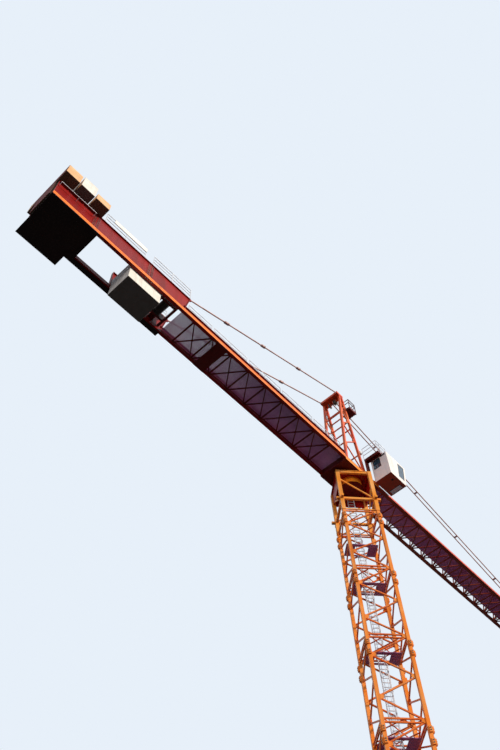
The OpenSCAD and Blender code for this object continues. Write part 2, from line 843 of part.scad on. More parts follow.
// Cab walls, floor and roof
module cab_shell() {
    color("whitesmoke") difference() {
        cab_slab(cab_y, cab_y + cab_w) cab_outline(0);
        cab_slab(cab_y + cab_t, cab_y + cab_w - cab_t) cab_outline(cab_t);
        cab_cuts(0);
    }
}

// Window panes that fill the cab's cuts at mid wall
module cab_windows() {
    color("darkslategray") intersection() {
        cab_cuts(0);
        difference() {
            cab_slab(cab_y + cab_t / 3, cab_y + cab_w - cab_t / 3) cab_outline(cab_t / 3);
            cab_slab(cab_y + cab_t * 2 / 3, cab_y + cab_w - cab_t * 2 / 3) cab_outline(cab_t * 2 / 3);
        }
    }
}

// Walkway behind the cab on two brackets, with a railing that runs on over the cab's roof
module cab_walkway() {
    from = cab_x - cab_walk_l;
    to = cab_x + roof_rail_l;
    near = girder_y - 40;
    far = cab_walk_y;
    floor_t = 30;
    bracket = 60;
    z = roof_z - floor_t;
    top = roof_z + rail_h;
    color("firebrick") {
        box([from, -far, z], [cab_x, -near, z + floor_t]);
        for (x = [from + 20, cab_x - 20 - bracket]) {
            box([x, -far, z - bracket], [x + bracket, -near, z]);
            box([x, -near - bracket, deck_z], [x + bracket, -near, z]);
        }
        for (x = [from, cab_x - rail_w, to - rail_w]) box([x, -far, roof_z], [x + rail_w, -far + rail_w, top]);
        box([from, -near - rail_w, roof_z], [from + rail_w, -near, top]);
        for (k = [0:2]) {
            box([from, -far, top - k * rail_drop - rail_w], [to, -far + rail_w, top - k * rail_drop]);
            box([from, -far, top - k * rail_drop - rail_w], [from + rail_w, -near, top - k * rail_drop]);
        }
    }
}

// One lower chord of the jib: a square box with a runway lip for the trolley
module lower_chord() {
    box([platform_x, -jib_y - chord_w / 2, chord_bottom], [jib_len, -chord_in, chord_top]);
    box([platform_x, -chord_in - runway_t, chord_bottom], [jib_len, -chord_in + runway_w, chord_bottom + runway_t]);
}

// Lower chords with cross bars and crossed diagonals between them
module jib_lower_frame() {
    color("orangered") {
        both_sides() lower_chord();
        box([platform_x + jib_bar_w, -chord_in, cross_bar_z], [platform_x + 2 * jib_bar_w, chord_in, cross_bar_z + jib_bar_w]);
        translate([0, 0, cross_bar_z]) linear_extrude(height = jib_bar_w) for (k = [0:jib_bays]) {
            x = jib_start + k * jib_bay;
            bar2([x, -jib_y], [x, jib_y], 1.4 * jib_bar_w);
            if (k < jib_bays) {
                bar2([x, -jib_y], [x + jib_bay, jib_y], jib_bar_w);
                bar2([x, jib_y], [x + jib_bay, -jib_y], jib_bar_w);
            }
        }
    }
}

// One leaning side of the jib's lattice, cut where it meets the chords
module jib_side() {
    color("orangered") difference() {
        translate([0, -jib_y, chord_top]) rotate([90 - side_lean, 0, 0])
            linear_extrude(height = jib_bar_w, center = true)
                for (k = [0:jib_bays - 1]) {
                    x = jib_start + k * jib_bay;
                    dip = 0.04;
                    bar2([x - dip * jib_bay / 2, -dip * side_run], [x + jib_bay / 2, side_run], jib_bar_w);
                    bar2([x + jib_bay / 2, side_run], [x + (1 + dip / 2) * jib_bay, -dip * side_run], jib_bar_w);
                }
        box([platform_x - jib_bay, -2 * jib_y, chord_bottom], [jib_len, 0, chord_top + seat_gap]);
        jib_top_bar();
    }
}

module jib_side_right() { jib_side(); }
module jib_side_left() { mirror([0, 1, 0]) jib_side(); }

// The top chord's square bar, from the first to the last top joint
module jib_top_bar() {
    box([top_chord_from - top_chord_w, -top_chord_w / 2, upper_node_z - top_chord_w / 2],
        [top_chord_to + top_chord_w, top_chord_w / 2, upper_node_z + top_chord_w / 2]);
}

// Block on the top chord in which the jib tie ends
module jib_tie_block() {
    high = upper_node_z + top_chord_w / 2;
    box([tie_foot_x - 120, -tie_gap / 2 - tie_w, high], [tie_foot_x + 120, tie_gap / 2 + tie_w, high + 90]);
}

module jib_top_chord() {
    color("orangered") {
        jib_top_bar();
        jib_tie_block();
    }
}

// Grating inside the jib, carried by short posts on the cross bars
module jib_walkway() {
    post = 30;
    low = cross_bar_z + jib_bar_w;
    color("slategray") {
        box([platform_x + 60, -jib_walk_half, jib_walk_z], [top_chord_to, jib_walk_half, jib_walk_z + grate_t]);
        for (k = [1:jib_bays - 1], s = [-1, 1]) {
            x = jib_start + k * jib_bay;
            translate([x - post / 2, s * (jib_walk_half - post) - post / 2, low])
                cube([post, post, jib_walk_z - low]);
        }
    }
}

// Twin tie bars from the cap of the tower head to the block on the top chord
module jib_tie() {
    low_z = upper_node_z + top_chord_w / 2 + 45;
    high_z = head_z + head_cap_h / 2;
    links = 6;
    color("rosybrown") difference() {
        union() {
            for (s = [-1, 1])
                beam([head_mid_top, s * tie_gap / 2, high_z], [tie_foot_x, s * tie_gap / 2, low_z], tie_w, tie_w);
            for (k = [1:links - 1]) {
                high = [head_mid_top, -tie_gap / 2, high_z];
                run = [tie_foot_x - head_mid_top, 0, low_z - high_z];
                at = high + run * (k / links);
                beam(at, at + [0, tie_gap, 0], 2 * tie_w, tie_w);
            }
        }
        jib_tie_block();
        head_cap();
    }
}

// Trolley that hangs from the lower chords' bottom flanges
module trolley() {
    wheel_r = 30;
    wheel_w = 30;
    rail_z = chord_bottom + runway_t;
    inner = chord_in - runway_w - 15;
    frame_top = chord_bottom - 20;
    hanger_h = rail_z + 2 * wheel_r;
    color("darkorange") translate([trolley_x, 0, 0]) {
        both_sides() for (x = [-trolley_l / 2 + 80, trolley_l / 2 - 80]) {
            translate([x, -inner, rail_z + wheel_r + seat_gap]) rotate([90, 0, 0])
                cylinder(r = wheel_r, h = wheel_w + 30);
            box([x - 20, -inner, frame_top - 60], [x + 20, -inner + 15, hanger_h]);
        }
        both_sides() box([-trolley_l / 2, -inner, frame_top - 90], [trolley_l / 2, -inner + 60, frame_top]);
        for (x = [-trolley_l / 2, -30, trolley_l / 2 - 60])
            box([x, -inner, frame_top - 90], [x + 60, inner, frame_top]);
    }
}

// Hook block drawn up under the trolley on short taut falls
module hook_block() {
    top = chord_bottom - 20 - 90;
    block_top = top - falls_h;
    color("gold") translate([trolley_x, 0, 0]) {
        for (s = [-1, 1]) translate([0, s * 150, block_top - 60]) cylinder(r = 10, h = falls_h + 60, $fn = 12);
        box([-70, -210, block_top - 320], [70, 210, block_top]);
        translate([0, 0, block_top - 460]) cylinder(r = 35, h = 140);
        translate([0, 0, block_top - 560]) rotate([90, 0, 0]) rotate(-60)
            rotate_extrude(angle = 300) translate([100, 0]) circle(r = 28);
    }
}

base_cross();
mast_leg(-1, 1);  // mast_leg_front_left
mast_leg(-1, -1);  // mast_leg_front_right
mast_leg(1, 1);  // mast_leg_back_left
mast_leg(1, -1);  // mast_leg_back_right
mast_lattice(180);  // mast_lattice_front
mast_lattice(90);  // mast_lattice_left
mast_lattice(0);  // mast_lattice_back
mast_lattice(270);  // mast_lattice_right
mast_ladder();
mast_platforms();
tower_top();
slewing_ring_base();
slewing_ring_top();
slewing_platform();
slew_drive();
head_frame_right();
head_frame_left();
head_cross_frame();
head_platform();
counter_girder_right();
counter_girder_left();
counter_bracing();
counter_cross_plate();
counter_walkway();
counter_rail_right();
counter_rail_left();
rail_board();
ballast_block_outer();
ballast_block_centre();
ballast_block_inner();
ballast_floor();
hanging_ballast();
winch_frame();
winch_drum();
counter_tie_right();
counter_tie_left();
cab_shell();
cab_windows();
cab_walkway();
jib_lower_frame();
jib_side_right();
jib_side_left();
jib_top_chord();
jib_walkway();
jib_tie();
trolley();
hook_block();
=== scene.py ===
import math

import bmesh
import bpy
from mathutils import Matrix, Vector


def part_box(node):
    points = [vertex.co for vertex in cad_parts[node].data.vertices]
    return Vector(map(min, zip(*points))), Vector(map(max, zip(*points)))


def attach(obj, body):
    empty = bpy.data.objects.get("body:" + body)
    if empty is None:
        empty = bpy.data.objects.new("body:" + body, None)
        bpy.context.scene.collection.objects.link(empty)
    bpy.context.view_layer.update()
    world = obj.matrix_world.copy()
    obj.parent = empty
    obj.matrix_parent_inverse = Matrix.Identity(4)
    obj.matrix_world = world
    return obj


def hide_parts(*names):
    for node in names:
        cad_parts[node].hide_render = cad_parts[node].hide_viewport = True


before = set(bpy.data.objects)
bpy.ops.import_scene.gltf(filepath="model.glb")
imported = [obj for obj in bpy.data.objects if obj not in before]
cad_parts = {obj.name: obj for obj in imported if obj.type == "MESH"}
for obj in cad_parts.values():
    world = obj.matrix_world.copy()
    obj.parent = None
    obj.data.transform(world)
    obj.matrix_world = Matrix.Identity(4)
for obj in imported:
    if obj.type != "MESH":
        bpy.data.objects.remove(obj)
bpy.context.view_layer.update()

# Camera: it stands low beside the counter-jib and looks up along it to the cab.
# The lens covers the photograph's long side.
camera_place = Vector((-15.539, -9.04, 2.399))
camera_yaw, camera_pitch, camera_roll = math.radians(41.366), math.radians(57.839), math.radians(-1.854)
ahead = Vector((
    math.cos(camera_pitch) * math.cos(camera_yaw),
    math.cos(camera_pitch) * math.sin(camera_yaw),
    math.sin(camera_pitch),
))
level_right = Vector((math.sin(camera_yaw), -math.cos(camera_yaw), 0))
level_up = level_right.cross(ahead)
camera_right = math.cos(camera_roll) * level_right + math.sin(camera_roll) * level_up
camera_up = camera_right.cross(ahead)
camera_data = bpy.data.cameras.new("photo_camera")
camera_data.sensor_width = 36
camera_data.lens = 35.6
camera_data.clip_end = 400
camera = bpy.data.objects.new("photo_camera", camera_data)
camera.matrix_world = Matrix.Translation(camera_place) @ Matrix(
    (camera_right, camera_up, -ahead)).transposed().to_4x4()
bpy.context.collection.objects.link(camera)
bpy.context.scene.camera = camera


def tint(code):
    """The linear colour of a colour written as rrggbb."""
    shares = [int(code[i:i + 2], 16) / 255 for i in (0, 2, 4)]
    return (*[s / 12.92 if s < 0.04045 else ((s + 0.055) / 1.055) ** 2.4 for s in shares], 1)


# Studio: a low warm lamp from the right, a weak one from behind the counter-jib, and a pale world
# and floor. The lamps' low height lights the upright faces and leaves the undersides dark.
lamp_data = bpy.data.lights.new("low_lamp", "SUN")
lamp_data.energy = 4.3
lamp_data.angle = math.radians(2.5)
lamp_data.color = (1, 0.9, 0.78)
lamp = bpy.data.objects.new("low_lamp", lamp_data)
lamp_from = Vector((0.32, -0.88, 0.36))
lamp.rotation_euler = lamp_from.to_track_quat("Z", "Y").to_euler()
bpy.context.collection.objects.link(lamp)

fill_data = bpy.data.lights.new("fill_lamp", "SUN")
fill_data.energy = 0.8
fill_data.angle = math.radians(20)
fill_data.color = (1, 0.86, 0.8)
fill = bpy.data.objects.new("fill_lamp", fill_data)
fill.rotation_euler = Vector((-0.9, -0.35, 0.1)).to_track_quat("Z", "Y").to_euler()
bpy.context.collection.objects.link(fill)

world = bpy.data.worlds.new("pale_studio")
bpy.context.scene.world = world
world.use_nodes = True
air = world.node_tree
soft_light = air.nodes["Background"]
soft_light.inputs["Color"].default_value = (0.62, 0.76, 1, 1)
soft_light.inputs["Strength"].default_value = 0.36
backdrop = air.nodes.new("ShaderNodeBackground")
backdrop.inputs["Color"].default_value = (0.8, 0.87, 0.95, 1)
seen = air.nodes.new("ShaderNodeLightPath")
seen_or_mirrored = air.nodes.new("ShaderNodeMath")
seen_or_mirrored.operation = "MAXIMUM"
through_glass = air.nodes.new("ShaderNodeMath")
through_glass.operation = "MAXIMUM"
blend = air.nodes.new("ShaderNodeMixShader")
air.links.new(seen.outputs["Is Camera Ray"], seen_or_mirrored.inputs[0])
air.links.new(seen.outputs["Is Glossy Ray"], seen_or_mirrored.inputs[1])
air.links.new(seen_or_mirrored.outputs[0], through_glass.inputs[0])
air.links.new(seen.outputs["Is Transmission Ray"], through_glass.inputs[1])
air.links.new(through_glass.outputs[0], blend.inputs["Fac"])
air.links.new(soft_light.outputs[0], blend.inputs[1])
air.links.new(backdrop.outputs[0], blend.inputs[2])
air.links.new(blend.outputs[0], air.nodes["World Output"].inputs["Surface"])

floor_mesh = bpy.data.meshes.new("floor")
floor_half = 300
floor_mesh.from_pydata(
    [(-floor_half, -floor_half, -0.002), (floor_half, -floor_half, -0.002),
     (floor_half, floor_half, -0.002), (-floor_half, floor_half, -0.002)], [], [(0, 1, 2, 3)])
studio_floor = bpy.data.objects.new("studio_floor", floor_mesh)
bpy.context.collection.objects.link(studio_floor)
floor_paint = bpy.data.materials.new("studio_floor")
floor_paint.use_nodes = True
floor_tree = floor_paint.node_tree
floor_tree.nodes["Principled BSDF"].inputs["Roughness"].default_value = 0.9
floor_seen = floor_tree.nodes.new("ShaderNodeLightPath")
floor_shade = floor_tree.nodes.new("ShaderNodeMix")
floor_shade.data_type = "RGBA"
floor_shade.inputs[6].default_value = (0.07, 0.07, 0.075, 1)
floor_shade.inputs[7].default_value = (0.55, 0.57, 0.6, 1)
floor_tree.links.new(floor_seen.outputs["Is Camera Ray"], floor_shade.inputs[0])
floor_tree.links.new(floor_shade.outputs[2], floor_tree.nodes["Principled BSDF"].inputs["Base Color"])
floor_mesh.materials.append(floor_paint)
bpy.context.scene.view_settings.view_transform = "Standard"


# Base cross: two crossed box beams of welded plate, with flat ends that are bolted down.
# Its paint, like all the crane's, is a sprayed enamel that fades, runs and chips.
def socket(tree, name, side, kind, value=None):
    """Adds one named input or output to a node group."""
    made = tree.interface.new_socket(name, in_out=side, socket_type=kind)
    if value is not None:
        made.default_value = value
    return made


def math_node(tree, operation, *values):
    """A math node whose inputs are numbers or outputs of other nodes; returns its output."""
    made = tree.nodes.new("ShaderNodeMath")
    made.operation = operation
    for i, value in enumerate(values):
        if isinstance(value, (int, float)):
            made.inputs[i].default_value = value
        else:
            tree.links.new(value, made.inputs[i])
    return made.outputs[0]


def spread(tree, value, low, high):
    """Stretches the values from low to high over 0 to 1; returns the output."""
    made = tree.nodes.new("ShaderNodeMapRange")
    tree.links.new(value, made.inputs["Value"])
    made.inputs["From Min"].default_value = low
    made.inputs["From Max"].default_value = high
    return made.outputs["Result"]


def mixed(tree, share, first, second):
    """Mixes two colours, which are values or outputs; returns the output."""
    made = tree.nodes.new("ShaderNodeMix")
    made.data_type = "RGBA"
    for name, value in (("Factor", share), ("A", first), ("B", second)):
        kind = "VALUE" if name == "Factor" else "RGBA"
        target = [s for s in made.inputs if s.name == name and s.type == kind][0]
        if isinstance(value, (int, float, tuple)):
            target.default_value = value
        else:
            tree.links.new(value, target)
    return [s for s in made.outputs if s.type == "RGBA"][0]


def noise(tree, scale, detail, stretch=(1, 1, 1), kind="Fac"):
    """A noise over the object's own coordinates, stretched on its axes; returns the output."""
    place = tree.nodes.new("ShaderNodeTexCoord")
    mapping = tree.nodes.new("ShaderNodeMapping")
    mapping.inputs["Scale"].default_value = stretch
    made = tree.nodes.new("ShaderNodeTexNoise")
    made.inputs["Scale"].default_value = scale
    made.inputs["Detail"].default_value = detail
    tree.links.new(place.outputs["Object"], mapping.inputs["Vector"])
    tree.links.new(mapping.outputs["Vector"], made.inputs["Vector"])
    return made.outputs[kind]


weathering = bpy.data.node_groups.new("weathered_paint", "ShaderNodeTree")
socket(weathering, "Paint", "INPUT", "NodeSocketColor", (0.8, 0.2, 0.05, 1))
socket(weathering, "Faded", "INPUT", "NodeSocketColor", (0.9, 0.4, 0.2, 1))
socket(weathering, "Grime", "INPUT", "NodeSocketColor", (0.05, 0.03, 0.02, 1))
socket(weathering, "Runs", "INPUT", "NodeSocketFloat", 0.4)
socket(weathering, "Chips", "INPUT", "NodeSocketFloat", 0.5)
socket(weathering, "Base Roughness", "INPUT", "NodeSocketFloat", 0.42)
socket(weathering, "Color", "OUTPUT", "NodeSocketColor")
socket(weathering, "Roughness", "OUTPUT", "NodeSocketFloat")
socket(weathering, "Height", "OUTPUT", "NodeSocketFloat")
given = weathering.nodes.new("NodeGroupInput")
result = weathering.nodes.new("NodeGroupOutput")
fade = spread(weathering, noise(weathering, 1.1, 5), 0.42, 0.68)
runs = spread(weathering, noise(weathering, 7, 6, (1, 1, 0.07)), 0.52, 0.74)
runs = math_node(weathering, "MULTIPLY", runs, given.outputs["Runs"])
dust = spread(weathering, noise(weathering, 26, 4), 0.5, 0.8)
chip = math_node(weathering, "GREATER_THAN", noise(weathering, 48, 3), 0.69)
patch = math_node(weathering, "GREATER_THAN", noise(weathering, 5, 2), 0.52)
chip = math_node(weathering, "MULTIPLY", chip, patch)
chip = math_node(weathering, "MULTIPLY", chip, given.outputs["Chips"])
coat = mixed(weathering, fade, given.outputs["Paint"], given.outputs["Faded"])
coat = mixed(weathering, math_node(weathering, "MULTIPLY", dust, 0.05), coat, tint("b8a99a"))
coat = mixed(weathering, runs, coat, given.outputs["Grime"])
coat = mixed(weathering, chip, coat, tint("5a2f1c"))
weathering.links.new(coat, result.inputs["Color"])
rough = math_node(weathering, "MULTIPLY_ADD", fade, 0.14, given.outputs["Base Roughness"])
rough = math_node(weathering, "MULTIPLY_ADD", runs, 0.25, rough)
weathering.links.new(math_node(weathering, "MULTIPLY_ADD", chip, 0.3, rough), result.inputs["Roughness"])
peel = math_node(weathering, "MULTIPLY", noise(weathering, 120, 2), 0.35)
weathering.links.new(math_node(weathering, "SUBTRACT", peel, chip), result.inputs["Height"])


def object_axes(tree, turn=0.0):
    """The X, Y and Z of each point in the crane's axes, or in axes turned about Z."""
    source = tree.nodes.new("ShaderNodeTexCoord").outputs["Object"]
    if turn:
        own_axes = tree.nodes.new("ShaderNodeMapping")
        own_axes.inputs["Rotation"].default_value = (0, 0, -turn)
        tree.links.new(source, own_axes.inputs["Vector"])
        source = own_axes.outputs["Vector"]
    split = tree.nodes.new("ShaderNodeSeparateXYZ")
    tree.links.new(source, split.inputs[0])
    return split.outputs["X"], split.outputs["Y"], split.outputs["Z"]


def paint(name, colour, faded, runs=0.35, chips=0.6, rough=0.4, choose=None):
    """A weathered enamel. choose(tree, colour) may return another colour output by place."""
    made = bpy.data.materials.new(name)
    made.use_nodes = True
    tree = made.node_tree
    surface = tree.nodes["Principled BSDF"]
    coat = tree.nodes.new("ShaderNodeGroup")
    coat.node_tree = weathering
    coat.inputs["Paint"].default_value = tint(colour)
    coat.inputs["Faded"].default_value = tint(faded)
    coat.inputs["Grime"].default_value = tint("2a1712")
    coat.inputs["Runs"].default_value = runs
    coat.inputs["Chips"].default_value = chips
    coat.inputs["Base Roughness"].default_value = rough
    if choose:
        tree.links.new(choose(tree, tint(colour)), coat.inputs["Paint"])
        tree.links.new(choose(tree, tint(faded)), coat.inputs["Faded"])
    tree.links.new(coat.outputs["Color"], surface.inputs["Base Color"])
    tree.links.new(coat.outputs["Roughness"], surface.inputs["Roughness"])
    bump = tree.nodes.new("ShaderNodeBump")
    bump.inputs["Strength"].default_value = 0.35
    bump.inputs["Distance"].default_value = 0.002
    tree.links.new(coat.outputs["Height"], bump.inputs["Height"])
    tree.links.new(bump.outputs["Normal"], surface.inputs["Normal"])
    surface.inputs["Specular IOR Level"].default_value = 0.18
    return made


def dress(node, material):
    """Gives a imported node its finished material."""
    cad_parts[node].data.materials.clear()
    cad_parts[node].data.materials.append(material)


mast_orange = paint("mast_orange", "f08428", "f6a356", runs=0.4)
dress("base_cross", mast_orange)


def piece_from(name, mesh, body, material=None):
    """Links a finished mesh as a piece that moves with a body."""
    made = bpy.data.objects.new(name, mesh)
    bpy.context.collection.objects.link(made)
    if material:
        mesh.materials.clear()
        mesh.materials.append(material)
    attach(made, body)
    return made


def mesh_from(shape, name):
    """Turns a finished bmesh into a mesh of that name."""
    mesh = bpy.data.meshes.new(name)
    shape.to_mesh(mesh)
    shape.free()
    return mesh


def box_piece(name, body, boxes, bevel, material):
    """Boxes as one piece."""
    return piece_from(name, boxes_mesh(name, boxes, bevel), body, material)


def boxes_mesh(name, boxes, bevel=0.0):
    """One mesh of closed boxes, each with its corners low and high and a turn about Z."""
    shape = bmesh.new()
    for low, high, turn in boxes:
        low, high = Vector(low), Vector(high)
        size = high - low
        centred = Matrix.Translation((low + high) / 2) @ Matrix.Diagonal((*size, 1))
        place = Matrix.Rotation(turn, 4, "Z") @ centred
        bmesh.ops.create_cube(shape, size=1, matrix=place)
    if bevel:
        bmesh.ops.bevel(shape, geom=shape.edges[:], offset=bevel, segments=2, affect="EDGES")
    return mesh_from(shape, name)


def plates_mesh(name, plates):
    """One mesh of flat plates, each with its outline's corners, and its thickness as a vector."""
    shape = bmesh.new()
    for outline, thick in plates:
        thick = Vector(thick)
        front = [shape.verts.new(Vector(p) - thick / 2) for p in outline]
        back = [shape.verts.new(Vector(p) + thick / 2) for p in outline]
        shape.faces.new(front)
        shape.faces.new(back[::-1])
        for i in range(len(front)):
            j = (i + 1) % len(front)
            shape.faces.new((front[j], front[i], back[i], back[j]))
    bmesh.ops.recalc_face_normals(shape, faces=shape.faces[:])
    return mesh_from(shape, name)


# Foot ribs: upright triangular plates that are welded between the cross and each mast leg.
mast_turn = math.radians(47.5)
mast_half = 0.575
leg_w = 0.1
leg_out = mast_half + leg_w / 2
cross_top = 0.33


def turned(point, angle=mast_turn):
    """A point of the mast's own axes in the crane's axes."""
    x, y, z = point
    return (x * math.cos(angle) - y * math.sin(angle), x * math.sin(angle) + y * math.cos(angle), z)


foot_ribs = []
rib_run, rib_rise, rib_t = 0.045, 0.16, 0.012
for sx in (-1, 1):
    for sy in (-1, 1):
        for along in (0, 1):
            face = [(leg_out, mast_half, cross_top), (leg_out + rib_run, mast_half, cross_top),
                    (leg_out, mast_half, cross_top + rib_rise)]
            thick = (0, rib_t, 0)
            if along:
                face = [(y, x, z) for x, y, z in face]
                thick = (rib_t, 0, 0)
            face = [turned((sx * x, sy * y, z)) for x, y, z in face]
            foot_ribs.append((face, turned(thick)))


def plate_piece(name, body, plates, material):
    """Flat plates as one piece."""
    return piece_from(name, plates_mesh(name, plates), body, material)


plate_piece("foot_ribs", "tower", foot_ribs, mast_orange)

# Mast: square tube legs and flat lattice bars, welded in sections that are pinned at lugs.
# The pins' heads and the corner plates at the bars' ends are separate small parts.
shaded_orange = paint("lattice_orange", "dd6420", "ec8d48", runs=0.5)
legs = ("front_left", "front_right", "back_left", "back_right")
for leg in legs:
    dress(f"mast_leg_{leg}", mast_orange)
sides = ("front", "left", "back", "right")
for side in sides:
    dress(f"mast_lattice_{side}", shaded_orange)

mast_foot, section_h, section_n = 0.7, 2.518, 8
mast_top = mast_foot + section_n * section_h
lattice_quarter = section_h / 4
lug_l, lug_t = 0.16, 0.045


def grown(name, tree, points, edges, values, attribute=None):
    """Runs a node tree on a bare mesh of points and edges and returns the plain mesh it makes."""
    seed_mesh = bpy.data.meshes.new(name)
    seed_mesh.from_pydata(points, edges, [])
    if attribute:
        title, vectors = attribute
        column = seed_mesh.attributes.new(title, "FLOAT_VECTOR", "POINT")
        for i, vector in enumerate(vectors):
            column.data[i].vector = vector
    holder = bpy.data.objects.new(name, seed_mesh)
    bpy.context.collection.objects.link(holder)
    modifier = holder.modifiers.new("made", "NODES")
    modifier.node_group = tree
    for item in tree.interface.items_tree:
        if item.item_type == "SOCKET" and item.in_out == "INPUT" and item.name in values:
            modifier[item.identifier] = values[item.name]
    holder.update_tag()
    bpy.context.view_layer.update()
    ready = holder.evaluated_get(bpy.context.evaluated_depsgraph_get())
    mesh = bpy.data.meshes.new_from_object(ready)
    mesh.name = name
    bpy.data.objects.remove(holder)
    return mesh


def geometry_tree(name, numbers):
    """An empty geometry tree with a mesh input, named numbers and a material; returns its parts."""
    tree = bpy.data.node_groups.new(name, "GeometryNodeTree")
    socket(tree, "Geometry", "INPUT", "NodeSocketGeometry")
    for title, value in numbers.items():
        kind = "NodeSocketInt" if isinstance(value, int) else "NodeSocketFloat"
        kind = "NodeSocketVector" if isinstance(value, tuple) else kind
        socket(tree, title, "INPUT", kind, value)
    socket(tree, "Material", "INPUT", "NodeSocketMaterial")
    socket(tree, "Geometry", "OUTPUT", "NodeSocketGeometry")
    return tree, tree.nodes.new("NodeGroupInput"), tree.nodes.new("NodeGroupOutput")


def close_tree(tree, given, result, geometry):
    """Ends a geometry tree: real geometry with the given material."""
    real = tree.nodes.new("GeometryNodeRealizeInstances")
    finish = tree.nodes.new("GeometryNodeSetMaterial")
    tree.links.new(geometry, real.inputs["Geometry"])
    tree.links.new(real.outputs["Geometry"], finish.inputs["Geometry"])
    tree.links.new(given.outputs["Material"], finish.inputs["Material"])
    tree.links.new(finish.outputs["Geometry"], result.inputs["Geometry"])


bolt_tree, given, result = geometry_tree("hex_bolts", {"Radius": 0.012, "Height": 0.01})
axis = bolt_tree.nodes.new("GeometryNodeInputNamedAttribute")
axis.data_type = "FLOAT_VECTOR"
axis.inputs["Name"].default_value = "axis"
aim = bolt_tree.nodes.new("FunctionNodeAlignRotationToVector")
aim.axis = "Z"
bolt_tree.links.new(axis.outputs["Attribute"], aim.inputs["Vector"])
both = bolt_tree.nodes.new("GeometryNodeJoinGeometry")
for corners, wider, share in ((6, 1.0, 1.0), (10, 1.45, 0.3)):
    body = bolt_tree.nodes.new("GeometryNodeMeshCylinder")
    body.inputs["Vertices"].default_value = corners
    lift = bolt_tree.nodes.new("GeometryNodeTransform")
    shift = bolt_tree.nodes.new("ShaderNodeCombineXYZ")
    depth = math_node(bolt_tree, "MULTIPLY", given.outputs["Height"], share)
    body_r = math_node(bolt_tree, "MULTIPLY", given.outputs["Radius"], wider)
    bolt_tree.links.new(body_r, body.inputs["Radius"])
    bolt_tree.links.new(depth, body.inputs["Depth"])
    bolt_tree.links.new(math_node(bolt_tree, "MULTIPLY", depth, 0.5), shift.inputs["Z"])
    bolt_tree.links.new(shift.outputs[0], lift.inputs["Translation"])
    bolt_tree.links.new(body.outputs["Mesh"], lift.inputs["Geometry"])
    bolt_tree.links.new(lift.outputs["Geometry"], both.inputs["Geometry"])
stamp = bolt_tree.nodes.new("GeometryNodeInstanceOnPoints")
bolt_tree.links.new(given.outputs["Geometry"], stamp.inputs["Points"])
bolt_tree.links.new(both.outputs["Geometry"], stamp.inputs["Instance"])
bolt_tree.links.new(aim.outputs["Rotation"], stamp.inputs["Rotation"])
close_tree(bolt_tree, given, result, stamp.outputs["Instances"])

bolt_steel = paint("bolt_steel", "6e6a66", "8b8177", runs=0.5, chips=0.9, rough=0.35)
bolt_steel.node_tree.nodes["Principled BSDF"].inputs["Metallic"].default_value = 0.7


def bolts(name, body, places, radius, height):
    """Hex bolts with washers, each at a point and pointing along an axis."""
    mesh = grown(name, bolt_tree, [p for p, _ in places], [],
                 {"Radius": radius, "Height": height, "Material": bolt_steel}, ("axis", [a for _, a in places]))
    return piece_from(name, mesh, body, None)


lug_pins = []
for k in range(section_n):
    joint_z = mast_foot + (k + 1) * section_h - lug_l
    for drop in (0.5 * lug_l, 2.5 * lug_l):
        for sx in (-1, 1):
            for sy in (-1, 1):
                for shift in (-0.03, 0.03):
                    z = joint_z - drop + shift
                    reach, side = leg_out + lug_t, mast_half + 0.01
                    lug_pins.append((turned((sx * reach, sy * side, z)), turned((sx, 0, 0))))
                    lug_pins.append((turned((sx * side, sy * reach, z)), turned((0, sy, 0))))
bolts("mast_pins", "tower", lug_pins, 0.014, 0.016)

corner_plates = []
plate_l, plate_h, plate_t = 0.11, 0.17, 0.01
for turn in range(4):
    for k in range(section_n * 4 + 1):
        side = 1 if k % 4 % 2 == 0 else -1
        z = mast_foot + k * lattice_quarter
        if z + plate_h / 2 > mast_top or z - plate_h / 2 < cross_top:
            z += plate_h / 2 if z < mast_top - 1 else -plate_h / 2
        y_out, y_in = mast_half - leg_w / 2 + 0.002, mast_half - leg_w / 2 - plate_l
        x = mast_half + 0.02 + plate_t / 2
        outline = [(x, side * y_out, z - plate_h / 2), (x, side * y_in, z - plate_h / 5),
                   (x, side * y_in, z + plate_h / 5), (x, side * y_out, z + plate_h / 2)]
        quarter = mast_turn + turn * math.pi / 2
        corner_plates.append(([turned(p, quarter) for p in outline], turned((plate_t, 0, 0), quarter)))
plate_piece("mast_corner_plates", "tower", corner_plates, mast_orange)

tube_tree, given, result = geometry_tree("round_bars", {"Radius": 0.012, "Sides": 8})
path = tube_tree.nodes.new("GeometryNodeMeshToCurve")
ring = tube_tree.nodes.new("GeometryNodeCurvePrimitiveCircle")
tube = tube_tree.nodes.new("GeometryNodeCurveToMesh")
tube.inputs["Fill Caps"].default_value = True
tube_tree.links.new(given.outputs["Geometry"], path.inputs["Mesh"])
tube_tree.links.new(given.outputs["Sides"], ring.inputs["Resolution"])
tube_tree.links.new(given.outputs["Radius"], ring.inputs["Radius"])
tube_tree.links.new(path.outputs["Curve"], tube.inputs["Curve"])
tube_tree.links.new(ring.outputs["Curve"], tube.inputs["Profile Curve"])
close_tree(tube_tree, given, result, tube.outputs["Mesh"])


def bars(name, body, lines, radius, material, sides=8):
    """Round bars along lines, each of which is a list of points."""
    points, edges = [], []
    for line in lines:
        start = len(points)
        points += [tuple(p) for p in line]
        edges += [(start + i, start + i + 1) for i in range(len(line) - 1)]
    mesh = grown(name, tube_tree, points, edges, {"Radius": radius, "Sides": sides, "Material": material})
    return piece_from(name, mesh, body, None)


